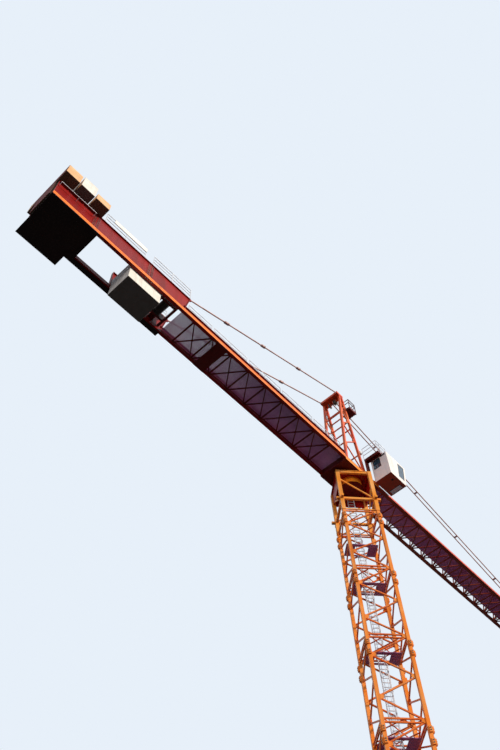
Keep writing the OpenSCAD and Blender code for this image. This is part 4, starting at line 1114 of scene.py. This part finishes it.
loop = [front_point(cab_out + 0.06, 0.25), front_point(cab_in - 0.06, 0.25), front_point(cab_in - 0.06, cab_h - 0.07),
        front_point(cab_out + 0.06, cab_h - 0.07)]
seals.append(loop + [loop[0]])
rear_y, rear_z = (-1.025, -0.72), (cab_low[2] + 0.625, cab_low[2] + 1.085)
loop = across_plate(cab_x - 0.002, *rear_y, *rear_z)
seals.append(loop + [loop[0]])
bars("cab_seals", "top", seals, 0.011, rubber)
wiper = [[front_point((cab_in + cab_out) / 2 + 0.12, 0.2), front_point((cab_in + cab_out) / 2 - 0.02, 0.62)],
         [front_point((cab_in + cab_out) / 2 - 0.02, 0.4), front_point((cab_in + cab_out) / 2 - 0.02, 0.84)]]
wiper = [[(x + 0.016, y, z) for x, y, z in line] for line in wiper]
bars("cab_wiper", "top", wiper, 0.007, rubber)
vent_z = cab_low[2] + 1.07
slats = [((cab_x - 0.006, -1.285, vent_z + k * 0.026),
          (cab_x + 0.002, -1.075, vent_z + k * 0.026 + 0.016), 0.0) for k in range(4)]
box_piece("cab_vent", "top", slats, 0.002, rubber)
door = [[(cab_x + 0.12, cab_in + 0.001, cab_low[2] + 0.06), (cab_x + 0.12, cab_in + 0.001, cab_high[2] - 0.08),
         (cab_x + 0.52, cab_in + 0.001, cab_high[2] - 0.08), (cab_x + 0.52, cab_in + 0.001, cab_low[2] + 0.06),
         (cab_x + 0.12, cab_in + 0.001, cab_low[2] + 0.06)]]
bars("cab_door_seam", "top", door, 0.005, rubber)
handle_z = cab_low[2] + 0.55
handle = across_plate(cab_x + 0.17, cab_in + 0.022, cab_in, handle_z, handle_z + 0.1)
handle = [handle[1], handle[0], handle[3], handle[2]]
bars("cab_door_handle", "top", [handle], 0.007, galvanised)
plate_white = paint("plate_white", "c9d2e6", "d6dcea", runs=0.1, chips=0.1, rough=0.35)
under = cab_low[2]
blank = [((1.41, -1.21, under - 0.005), (1.6, -0.74, under + 0.002), 0.0)]
box_piece("cab_blank_plate", "top", blank, 0.002, plate_white)
blank_edge = [(1.41, -1.21), (1.6, -1.21), (1.6, -0.74), (1.41, -0.74), (1.41, -1.21)]
bars("cab_plate_frame", "top", [[(x, y, under - 0.004) for x, y in blank_edge]], 0.007, rubber)
cap_outline = [(0.012, -0.002), (0.045, -0.002), (0.045, 0.01), (0.038, 0.016), (0.012, 0.016)]
turned_parts("cab_drain_cap", [((1.03, -1.16, under), (0, 0, -1), cap_outline)],
             "top", rubber)
gutter_z = cab_high[2] + 0.004
gutter = [[(cab_x + 0.01, y, gutter_z), (cab_x + cab_len + cab_lean - 0.02, y, gutter_z)]
          for y in (cab_out + 0.009, cab_in - 0.009)]
bars("cab_gutters", "top", gutter, 0.008, cab_paint)

# Cab interior: a seat with a padded back on a pedestal, between two control boxes.
# It shows through the windows as a dark shape.
seat_x, seat_y, floor_z = cab_x + 0.42, (cab_in + cab_out) / 2, cab_low[2] + 0.03
seat_parts = boxes_mesh("cab_seat", [
    ((seat_x - 0.12, seat_y - 0.12, floor_z + 0.2), (seat_x + 0.12, seat_y + 0.12, floor_z + 0.26), 0.0),
    ((seat_x - 0.15, seat_y - 0.12, floor_z + 0.24), (seat_x - 0.09, seat_y + 0.12, floor_z + 0.56), 0.0),
    ((seat_x - 0.04, seat_y - 0.04, floor_z), (seat_x + 0.04, seat_y + 0.04, floor_z + 0.21), 0.0),
    ((seat_x + 0.0, seat_y - 0.22, floor_z), (seat_x + 0.16, seat_y - 0.15, floor_z + 0.32), 0.0),
    ((seat_x + 0.0, seat_y + 0.15, floor_z), (seat_x + 0.16, seat_y + 0.22, floor_z + 0.32), 0.0)], 0.014)
piece_from("cab_seat", seat_parts, "top", rubber)

# Walkway behind the cab: sheet floor on brackets, with a galvanised tube railing that runs on over the roof.
behind, roof_z, roof_end, rail_out = cab_x - 0.225, cab_high[2], cab_x + 0.4, -1.16
near_y, bracket = -0.498, 0.06
deck_parts = [((behind, rail_out, roof_z - 0.03), (cab_x, near_y, roof_z), 0.0)]
for x in (behind + 0.02, cab_x - 0.02 - bracket):
    deck_parts.append(((x, rail_out, roof_z - 0.03 - bracket), (x + bracket, near_y, roof_z - 0.03), 0.0))
    deck_parts.append(((x, near_y - bracket, deck_z), (x + bracket, near_y, roof_z - 0.03), 0.0))
behind_cab = box_piece("cab_walkway_frame", "top", deck_parts, 0.003, dark_red)
top_rail = roof_z + rail_h
lines = [[(x, rail_out + 0.012, roof_z), (x, rail_out + 0.012, top_rail - 0.012)]
         for x in (behind + 0.012, cab_x - 0.012, roof_end - 0.012)]
lines.append([(behind + 0.012, near_y - 0.012, roof_z), (behind + 0.012, near_y - 0.012, top_rail - 0.012)])
for k in range(3):
    z = top_rail - k * rail_drop - 0.012
    lines.append([(roof_end - 0.012, rail_out + 0.012, z), (behind + 0.012, rail_out + 0.012, z),
                  (behind + 0.012, near_y - 0.012, z)])
behind_rails = bars("cab_walkway_rails", "top", lines, 0.012, galvanised)
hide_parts("cab_walkway")
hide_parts("cab_walkway")

# Jib: two lower chords of square box, cross bars and diagonals between them, and leaning lattice sides.
# Corner plates stiffen the joints on the chords.
chord_top = girder_z + box_h
# The chords' upper outer strip is lighter red: painted sunlight on their outer faces.
chord_paint = paint("chord_orange", "8f2d1c", "a04a34", runs=0.35,
                    choose=sunlit_strip_choice(chord_top - 0.099, chord_top - 0.001, "cf4a2c", 0.543))
dress("jib_lower_frame", chord_paint)
for node in ("jib_side_right", "jib_side_left", "jib_top_chord"):
    dress(node, jib_orange)
jib_start, jib_bay, jib_y, jib_h = 1.448, 0.742, 0.505, 1.0
jib_bays = round((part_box("jib_side_right")[1][0] - jib_start) / jib_bay)
jib_plates = []
for side in (-1, 1):
    slope = Vector((0, -side * jib_y, jib_h)).normalized()
    face_out = Vector((0, side * jib_h, jib_y)).normalized()
    for k in range(jib_bays + 1):
        x = jib_start + k * jib_bay
        foot = Vector((x, side * jib_y, chord_top)) + face_out * 0.022
        outline = [tuple(foot + Vector((-0.1, 0, 0))), tuple(foot + Vector((0.1, 0, 0))),
                   tuple(foot + Vector((0.05, 0, 0)) + slope * 0.11),
                   tuple(foot + Vector((-0.05, 0, 0)) + slope * 0.11)]
        jib_plates.append((outline, tuple(face_out * 0.008)))
plate_piece("jib_corner_plates", "top", jib_plates, jib_orange)
walk_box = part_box("jib_walkway")
walk_half, jib_walk_z = -walk_box[0][1], walk_box[1][2] - 0.02
jib_panels = []
panel_n = 23
panel_l = (walk_box[1][0] - walk_box[0][0]) / panel_n
for k in range(panel_n):
    x = walk_box[0][0] + k * panel_l
    jib_panels.append(((x, -walk_half, jib_walk_z), (x + panel_l, walk_half, jib_walk_z + 0.02)))
jib_walk = grating("jib_walkway_grating", "top", jib_panels, sunlit_grating_steel)
post_y = walk_half - 0.03
posts = [[(jib_start + k * jib_bay, side * post_y, z) for z in (chord_top - 0.03, jib_walk_z)]
         for k in range(1, jib_bays) for side in (-1, 1)]
jib_posts = bars("jib_walkway_posts", "top", posts, 0.014, dark_red)
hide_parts("jib_walkway")
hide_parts("jib_walkway")

# Trolley and hook block: cut plate and sheaves, painted yellow.
hook_yellow = paint("hook_yellow", "e0a21c", "e8b84e", runs=0.4)
dress("trolley", hook_yellow)


def hook_stripes(tree, base):
    """Slanting black stripes on the block's cheeks, over yellow."""
    along, across, height = object_axes(tree)
    run = math_node(tree, "ADD", math_node(tree, "ADD", height, across), along)
    wave = math_node(tree, "FRACT", math_node(tree, "MULTIPLY", run, stripes_per_m))
    stripe = math_node(tree, "GREATER_THAN", wave, 0.5)
    low_part = math_node(tree, "GREATER_THAN", height, cheek_low)
    high_part = math_node(tree, "LESS_THAN", height, cheek_low + cheek_h)
    on_cheek = math_node(tree, "MULTIPLY", low_part, high_part)
    return mixed(tree, math_node(tree, "MULTIPLY", stripe, on_cheek), base, tint("1f1c1a"))


stripes_per_m, cheek_h = 7.5, 0.36
cheek_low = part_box("hook_block")[0][2] + 0.21
hook_paint = paint("hook_paint", "e0a21c", "e8b84e", runs=0.4, choose=hook_stripes)
dress("hook_block", hook_paint)
trolley_low, trolley_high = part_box("trolley")
trolley_x = (trolley_low[0] + trolley_high[0]) / 2
trolley_z = trolley_low[2] + 0.045
turned_parts("trolley_sheaves", [((trolley_x + x, y, trolley_z), (0, 1, 0), sheave(0.085, 0.03))
                                 for x in (-0.2, 0.2) for y in (-0.15, 0.15)], "top", worn_steel)
axles = [[(trolley_x + x, y, trolley_z) for y in (-0.34, 0.34)] for x in (-0.2, 0.2)]
bars("trolley_axles", "top", axles, 0.0125, worn_steel, sides=12)
